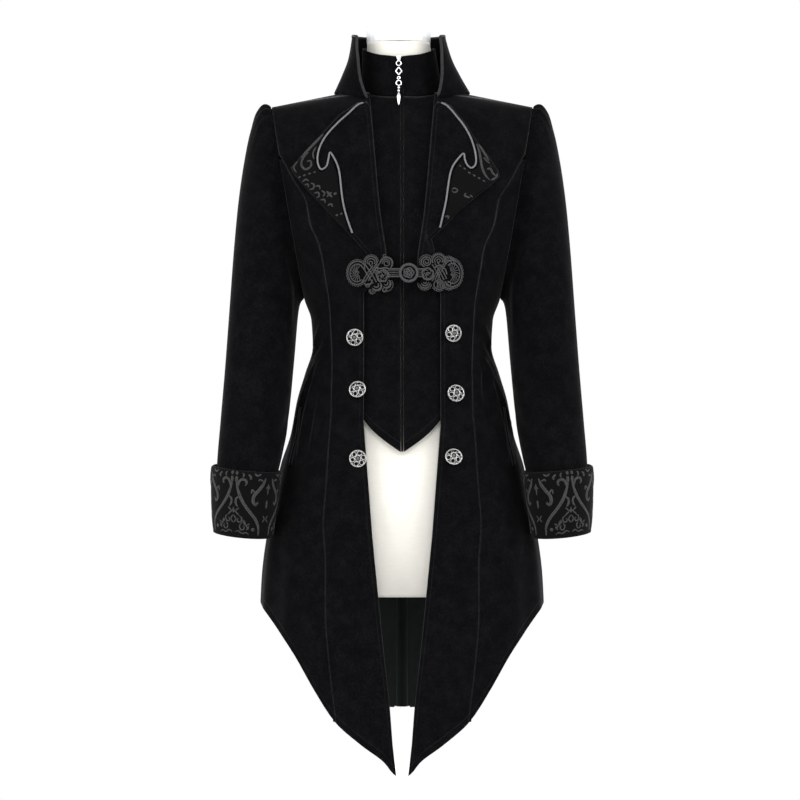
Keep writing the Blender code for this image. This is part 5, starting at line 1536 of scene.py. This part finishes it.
def front_patch(low_x, high_x, low_z, high_z, step=3.0):
    columns, rows = math.ceil((high_x - low_x) / step), math.ceil((high_z - low_z) / step)
    spots = [[on_front(low_x + i * step, low_z + j * step) for i in range(columns + 1)] for j in range(rows + 1)]
    outs = [[(on_front(low_x + i * step, low_z + j * step, 1.0) - spots[j][i]) for i in range(columns + 1)]
            for j in range(rows + 1)]

    def place(x, z, lift=0.0):
        across, up = (x - low_x) / step, (z - low_z) / step
        i, j = min(columns - 1, max(0, int(across))), min(rows - 1, max(0, int(up)))
        across, up = across - i, up - j
        mixed = [rows_of[j][i].lerp(rows_of[j][i + 1], across).lerp(
            rows_of[j + 1][i].lerp(rows_of[j + 1][i + 1], across), up) for rows_of in (spots, outs)]
        return mixed[0] + mixed[1].normalized() * lift
    return place


rayon_cord = Finish("rayon_cord", Roughness=0.6, Specular_IOR_Level=0.16, Sheen_Weight=0.1, Sheen_Roughness=0.4)
round_it, along_it = rayon_cord.cut("cord")
plies = ((round_it * 2 + along_it / 0.0021) * 6.2832).wave()
hairs = rayon_cord.noise(700.0, 3.0)
rayon_cord.set(Base_Color=rayon_cord.colours(plies * 0.3 + hairs * 0.9, (0.008, 0.008, 0.0085), (0.085, 0.085, 0.088)),
               Normal=rayon_cord.bump(plies * 0.5 + hairs, 0.7, 0.0004))
backing_felt = Finish("backing_felt", Roughness=0.95, Specular_IOR_Level=0.02)
fuzz = backing_felt.noise(900.0, 4.0)
backing_felt.set(Base_Color=backing_felt.colours(fuzz, (0.0015, 0.0015, 0.0016), (0.005, 0.005, 0.0053)),
                 Normal=backing_felt.bump(fuzz, 0.6, 0.0004))

frog_place = front_patch(-80, 90, 935, 1002)
for label in ("left", "right"):
    bm = cords()
    discs = FROG_BACKS[label]
    middle = Vector(discs[0][:2])
    rim = []
    for k in range(120):
        way = Vector((math.cos(math.radians(3 * k)), math.sin(math.radians(3 * k))))
        far = 0.0
        for x, z, wide in discs:
            to = Vector((x, z)) - middle
            off = to.length_squared - to.dot(way) ** 2
            if off < wide * wide:
                far = max(far, to.dot(way) + math.sqrt(wide * wide - off))
        rim.append(middle + way * far)
    layers = [(FROG_LIFT - FROG_BASE, 0.95), (FROG_LIFT - 0.3, 1.0), (FROG_LIFT, 0.95), (FROG_LIFT, 0.6),
              (FROG_LIFT, 0.25)]
    rows = [[bm.verts.new(frog_place(*(middle + (spot - middle) * wide), lift) * MM) for spot in rim]
            for lift, wide in layers]
    for first, second in zip(rows, rows[1:]):
        for k in range(len(rim)):
            bm.faces.new((first[k], first[k - 1], second[k - 1], second[k]))
    for row in (rows[0], rows[-1]):
        bm.faces.new(row)
    add_cords(f"frog_backing_{label}", bm, [backing_felt], [f"frog_{label}"])
    bm = cords()
    for line, thick in FROG_CORDS[label]:
        flat = rounded([Vector(spot) for spot in line], 0.9) if len(line) < 8 else [Vector(spot) for spot in line]
        add_cord(bm, [frog_place(*spot) for spot in flat], thick, sides=7)
    add_cords(f"frog_cords_{label}", bm, [rayon_cord])

ring_x, ring_z, ring_major, ring_minor = FROG_RING
ring_middle = on_front(ring_x, ring_z, FROG_LIFT + ring_minor)
bm = cords()
ring_line = []
for k in range(240):
    turn = 2 * math.pi * k / 240
    ring_line.append(ring_middle + Vector((math.cos(turn), 0, math.sin(turn))) * ring_major)
add_cord(bm, ring_line, lambda share: ring_minor * (0.84 + 0.16 * abs(math.sin(math.pi * RING_WRAPS * share))),
         sides=12, closed=True)
add_cords("frog_ring_wrapped", bm, [rayon_cord], ["frog_ring"])

bm = cords()
turks_head = []
for k in range(210):
    turn = 6 * math.pi * k / 210
    phase = turn * KNOT_BIGHTS / 3
    out = KNOT_MIDDLE + KNOT_SWING * math.cos(phase)
    dome = math.sqrt(1 - (out / (KNOT_REACH + 1.2)) ** 2) * KNOT_HIGH - 1.4
    turks_head.append(ring_middle + Vector((out * math.cos(turn), -dome - 0.75 * math.sin(2 * phase),
                                            out * math.sin(turn))))
add_cord(bm, turks_head, 1.05, closed=True)
core = bmesh.ops.create_uvsphere(bm, u_segments=24, v_segments=12, radius=1.0)["verts"]
for point in core:
    point.co = (ring_middle + Vector(KNOT_CORE) * point.co + Vector((0, 0.9, 0))) * MM
for face in {face for point in core for face in point.link_faces}:
    face.material_index = 1
add_cords("frog_knot_turks_head", bm, [rayon_cord, backing_felt], ["frog_knot"])

# The buttons: die-cast filigree domes in antique silver over a blackened inner cup, with a small grey boss, sewn on
# by a shank at the back. Six of them stand in two rows, each a little askew as it hangs on its thread.
# name, distance from the middle, height, degrees aside and upward, height over the front
BUTTONS = (
    ("button_left_top", -64.6, 880, 10, -6, 2.4),
    ("button_left_middle", -61, 806, 3, -4, 1.8),
    ("button_left_bottom", -61, 711, 14, 8, 1.7),
    ("button_right_top", 69.5, 886, -4, -5, 2.2),
    ("button_right_middle", 73.6, 801, -6, 4, 1.7),
    ("button_right_bottom", 70.7, 712.5, -10, -12, 1.7),
)
# Turned outlines: distance from the axis, height over the cloth
CUP_TURN = ((0, 5.6), (3.2, 5.3), (6.4, 4.4), (9.2, 3.3), (10.8, 2.6), (10.4, 2.3), (3.0, 2.2), (2.6, 0), (0, 0))
BOSS_TURN = ((0, 9.1), (1.2, 8.9), (2.0, 8.3), (2.4, 7.4), (2.5, 5.4), (0, 5.0))
SCROLLS = 6

antique_silver = Finish("antique_silver", Metallic=1.0)
tarnish = antique_silver.noise(420.0, 4.0)
antique_silver.set(Base_Color=antique_silver.colours(tarnish, (0.12, 0.12, 0.12), (0.80, 0.79, 0.78)),
                   Roughness=tarnish * 0.22 + 0.2,
                   Normal=antique_silver.bump(antique_silver.noise(600.0, 3.0), 0.35, 0.0003))
black_oxide = Finish("black_oxide", Roughness=0.6, Specular_IOR_Level=0.06)
black_oxide.set(Base_Color=black_oxide.colours(black_oxide.noise(500.0, 3.0), (0.002, 0.002, 0.0022),
                                               (0.010, 0.010, 0.0105)))
grey_boss = Finish("grey_boss", Metallic=0.5, Roughness=0.42)
grey_boss.set(Base_Color=grey_boss.colours(grey_boss.noise(380.0, 3.0), (0.05, 0.05, 0.052), (0.16, 0.16, 0.165)))


def spin_up(bm, outline, sides, move, index=0):
    """A shape turned about its own Z axis, then put where move takes it."""
    knots = [bm.verts.new((x * MM, 0, z * MM)) for x, z in outline]
    line = [bm.edges.new(pair) for pair in zip(knots, knots[1:])]
    bmesh.ops.spin(bm, geom=knots + line, cent=(0, 0, 0), axis=(0, 0, 1), angle=2 * math.pi, steps=sides,
                   use_merge=True)
    faces = set()
    points = set()
    for knot in knots:
        faces |= set(knot.link_faces)
    grown = True
    while grown:
        near = {face for item in faces for edge in item.edges for face in edge.link_faces} - faces
        faces |= near
        grown = bool(near)
    for face in faces:
        face.material_index = index
        points |= set(face.verts)
    bmesh.ops.transform(bm, matrix=move, verts=list(points))
    bmesh.ops.remove_doubles(bm, verts=list(points), dist=0.000005)


def silver_dome(reach):
    """Height of the filigree over the cloth, at a distance from the button's axis."""
    return between(8.4, 3.7, (reach / 11.4) ** 2)


for name, x, z, aside, upward, lift in BUTTONS:
    facing = (on_front(x, z, 1.0) - on_front(x, z)).to_track_quat("Z", "Y").to_matrix()
    askew = Matrix.Rotation(math.radians(aside), 3, "Y") @ Matrix.Rotation(math.radians(upward), 3, "X")
    move = Matrix.Translation(on_front(x, z, lift) * MM) @ (facing @ askew).to_4x4()
    bm = cords()
    filigree = []
    for k in range(SCROLLS):
        turn = 2 * math.pi * (k + 0.25) / SCROLLS
        cell = []
        for step in range(24):
            swing = 2 * math.pi * step / 24
            out = 7.6 + 3.0 * math.cos(swing)
            way = turn + math.sin(swing) * (0.40 - 0.06 * math.cos(swing))
            cell.append((out * math.cos(way), out * math.sin(way), silver_dome(out)))
        filigree.append((cell, lambda share: 0.6 + 0.2 * math.sin(4 * math.pi * share), True))
        knob = turn + math.pi / SCROLLS
        filigree.append(([(10.1 * math.cos(knob), 10.1 * math.sin(knob), 3.8),
                          (10.1 * math.cos(knob), 10.1 * math.sin(knob), 5.0)], 0.7, False))
    filigree.append(([(3.9 * math.cos(2 * math.pi * k / 32), 3.9 * math.sin(2 * math.pi * k / 32), 7.6)
                      for k in range(32)], 0.5, True))
    filigree.append(([(11.2 * math.cos(2 * math.pi * k / 84), 11.2 * math.sin(2 * math.pi * k / 84), 3.5)
                      for k in range(84)], lambda share: 0.66 + 0.2 * abs(math.sin(math.pi * 14 * share)), True))
    for line, thick, closed in filigree:
        add_cord(bm, line, thick, sides=7, closed=closed)
    spin_up(bm, CUP_TURN, 28, Matrix(), 1)
    spin_up(bm, BOSS_TURN, 16, Matrix(), 2)
    bmesh.ops.transform(bm, matrix=move, verts=bm.verts)
    add_cords(name + "_filigree", bm, [antique_silver, black_oxide, grey_boss], [name])

# The zip: a fine black coil on a woven tape between the waistcoat's halves, closed to the top of the neck. Its
# slider and the chain of its pull are bright silver: a ring, a diamond, two more links, two beads and a long drop.
TAPE_HALF = 1.55
TAPE_ROWS = 60
TAPE_NECK_ROWS = 8
ZIP_BOTTOM_Z = 722.0
TOOTH_PITCH = 1.9
SLIDER_Z = 1272.0
SLIDER_SIZE = (7.0, 3.4, 9.0)
PULL_GAP = 0.3
PULL_LEAN = 13.0
BEAD_RADIUS = 2.1
DIAMOND_SQUASH = 0.74
# name, radius of the link, radius of its wire, whether it is a diamond
PULL_LINKS = (("ring", 3.4, 0.8, 0), ("diamond", 6.0, 1.0, 1), ("small_link", 1.9, 0.8, 0), ("round_link", 3.6, 0.9, 0))
DROP_TURN = ((0, 19), (0.8, 18.8), (1.6, 18.2), (2.3, 16.6), (2.9, 14.5), (3.05, 12.6), (3.0, 11), (2.5, 8), (1.9, 5),
             (1.3, 2.4), (0.8, 0.8), (0.4, 0.15), (0, 0))

zip_foot, zip_head = stand_point(-1, 0), stand_point(-1, 1)


def tape_point(column, row):
    across = TAPE_HALF * (column - 1)
    if row <= TAPE_ROWS:
        point = on_coat(0.0, between(ZIP_BOTTOM_Z, vest_top(0.0), row / TAPE_ROWS), VEST_LIFT)
        return Vector((across, point.y, point.z))
    share = (row - TAPE_ROWS) / TAPE_NECK_ROWS
    point = zip_foot.lerp(zip_head, share)
    return Vector((across + NECK_LEAN * share, point.y, point.z))


zip_tape = Finish("zip_tape_weave", Roughness=0.9, Specular_IOR_Level=0.03)
_, tape_along = zip_tape.cut("cut")
ribs = (tape_along * 5200).wave()
zip_tape.set(Base_Color=zip_tape.colours(zip_tape.noise(600.0), (0.002, 0.002, 0.0022), (0.005, 0.005, 0.0054)),
             Normal=zip_tape.bump(ribs, 0.3, 0.0002))
cloth("zip_tape_woven", 2, TAPE_ROWS + TAPE_NECK_ROWS, tape_point, [zip_tape], ["zip_tape"], slot="zip_tape")

black_coil = Finish("black_coil", Roughness=0.5, Specular_IOR_Level=0.04)
black_coil.set(Base_Color=black_coil.colours(black_coil.noise(400.0), (0.0025, 0.0025, 0.0027), (0.006, 0.006, 0.0064)))
bm = cords()
teeth = round((SLIDER_Z - 4 - ZIP_BOTTOM_Z) / TOOTH_PITCH)
for k in range(teeth):
    z = ZIP_BOTTOM_Z + (k + 0.5) * TOOTH_PITCH
    up_neck = max(0.0, (z - zip_foot.z) / (zip_head.z - zip_foot.z))
    at = zip_foot.lerp(zip_head, up_neck) if up_neck else on_coat(0.0, z, VEST_LIFT)
    lean = NECK_LEAN * up_neck
    side = 1 if k % 2 else -1
    add_cord(bm, [(lean - side * 0.35, at.y - 1.15, z), (lean + side * 1.35, at.y - 1.1, z - 0.2)], 0.5, sides=4)
add_cords("zip_coil", bm, [black_coil])

bright_silver = Finish("bright_silver", Metallic=1.0)
smudges = bright_silver.noise(300.0, 3.0)
bright_silver.set(Base_Color=bright_silver.colours(smudges, (0.62, 0.62, 0.63), (0.92, 0.92, 0.93)),
                  Roughness=smudges * 0.15 + 0.16)


def at_height(z):
    """The place in front of the stand collar at the zip."""
    share = (z - zip_foot.z) / (zip_head.z - zip_foot.z)
    point = zip_foot.lerp(zip_head, share)
    return Vector((NECK_LEAN * share, point.y - CLOTH / 2, z))


slider_at = at_height(SLIDER_Z) + Vector((0, -SLIDER_SIZE[1] / 2 - PULL_GAP, 0))
bm = cords()
wide, deep, high = SLIDER_SIZE
# Half of the slider's shield, from its top: width as a share, height as a share
SHIELD = ((0.62, 0.5), (0.92, 0.4), (1.0, 0.22), (0.86, 0.0), (0.6, -0.2), (0.52, -0.38), (0.42, -0.5))
for low_y, high_y in ((0.18, 0.5), (-0.22, 0.0)):
    outline = [(x, z) for x, z in SHIELD] + [(-x, z) for x, z in reversed(SHIELD)]
    corners = [bm.verts.new((slider_at + Vector((x * wide * 0.45, high_y * deep, z * high))) * MM) for x, z in outline]
    plate = bm.faces.new(corners)
    raised = bmesh.ops.extrude_face_region(bm, geom=[plate], use_keep_orig=True)["geom"]
    moved = [item for item in raised if isinstance(item, bmesh.types.BMVert)]
    bmesh.ops.translate(bm, verts=moved, vec=(0, (low_y - high_y) * deep * MM, 0))
bmesh.ops.bevel(bm, geom=bm.edges[:], offset=0.0002, affect="EDGES", segments=2, profile=0.5, material=-1)
add_cord(bm, [slider_at + Vector((0, 0.6, 2.0)), slider_at + Vector((0, 0.6, -2.0))], 0.9, sides=8)
add_cord(bm, [slider_at + Vector((0, y, z)) for y, z in ((-0.2, 2.6), (-1.0, 2.6), (-1.5, 1.6), (-1.6, -1.4),
                                                        (-1.1, -3.0), (-0.2, -3.1))], 0.62, sides=8)
add_cords("zip_slider_cast", bm, [bright_silver], ["zip_slider"])

hinge_at = slider_at + Vector((0, -SLIDER_SIZE[1] / 2 - 0.8 - PULL_GAP, 1.0 - SLIDER_SIZE[2] / 2))
hang = Matrix.Translation(hinge_at * MM) @ Matrix.Rotation(math.radians(-PULL_LEAN), 4, "X")
down = 0.8
for name, major, minor, square in PULL_LINKS:
    middle_z = down - major - minor
    bm = cords()
    line = []
    for k in range(48):
        turn = 2 * math.pi * k / 48
        out = major
        if square:
            near = abs((turn + math.pi / 4) % (math.pi / 2) - math.pi / 4)
            out *= 0.96 * (math.cos(math.pi / 4) / math.cos(math.pi / 4 - near) if near > 0.07 else 1.0)
        line.append((out * math.cos(turn) * (DIAMOND_SQUASH if square else 1.0), 0, middle_z + out * math.sin(turn)))
    add_cord(bm, line, minor, sides=10, closed=True)
    bmesh.ops.transform(bm, matrix=hang, verts=bm.verts)
    add_cords(f"zip_pull_{name}_cast", bm, [bright_silver], [f"zip_pull_{name}"], body="zip_pull")
    down -= 2 * (major + minor) + PULL_GAP
for number in (1, 2):
    bm = cords()
    bead = bmesh.ops.create_uvsphere(bm, u_segments=24, v_segments=14, radius=BEAD_RADIUS * MM)["verts"]
    bmesh.ops.translate(bm, verts=bead, vec=(0, 0, (down - BEAD_RADIUS) * MM))
    girdle = BEAD_RADIUS * 0.97
    add_cord(bm, [(girdle * math.cos(2 * math.pi * k / 24), girdle * math.sin(2 * math.pi * k / 24),
                   down - BEAD_RADIUS) for k in range(24)], 0.16, sides=5, closed=True)
    bmesh.ops.transform(bm, matrix=hang, verts=bm.verts)
    add_cords(f"zip_pull_bead_{number}_cast", bm, [bright_silver], [f"zip_pull_bead_{number}"],
              body="zip_pull")
    down -= 2 * BEAD_RADIUS + PULL_GAP
bm = cords()
spin_up(bm, DROP_TURN, 24, hang @ Matrix.Translation((0, 0, (down - DROP_TURN[0][1]) * MM)))
add_cords("zip_pull_drop_cast", bm, [bright_silver], ["zip_pull_drop"], body="zip_pull")

# The pocket welts: a narrow folded strip of velvet set in each side front over a slanting hip pocket.
POCKET = ((67, 782), (61, 700))
POCKET_HALF_TURN = 1.3
POCKET_LIFT = 3.2
WELT_ACROSS = 4
WELT_UP = 20
for label, side in (("left", -1), ("right", 1)):
    def welt_point(column, row, side=side):
        share = row / WELT_UP
        turn = between(POCKET[0][0], POCKET[1][0], share) + (2 * column / WELT_ACROSS - 1) * POCKET_HALF_TURN
        return on_coat(turn, between(POCKET[0][1], POCKET[1][1], share), POCKET_LIFT, side)
    cloth(f"pocket_welt_velvet_{label}", WELT_ACROSS, WELT_UP, welt_point, [velvet], [f"pocket_welt_{label}"])
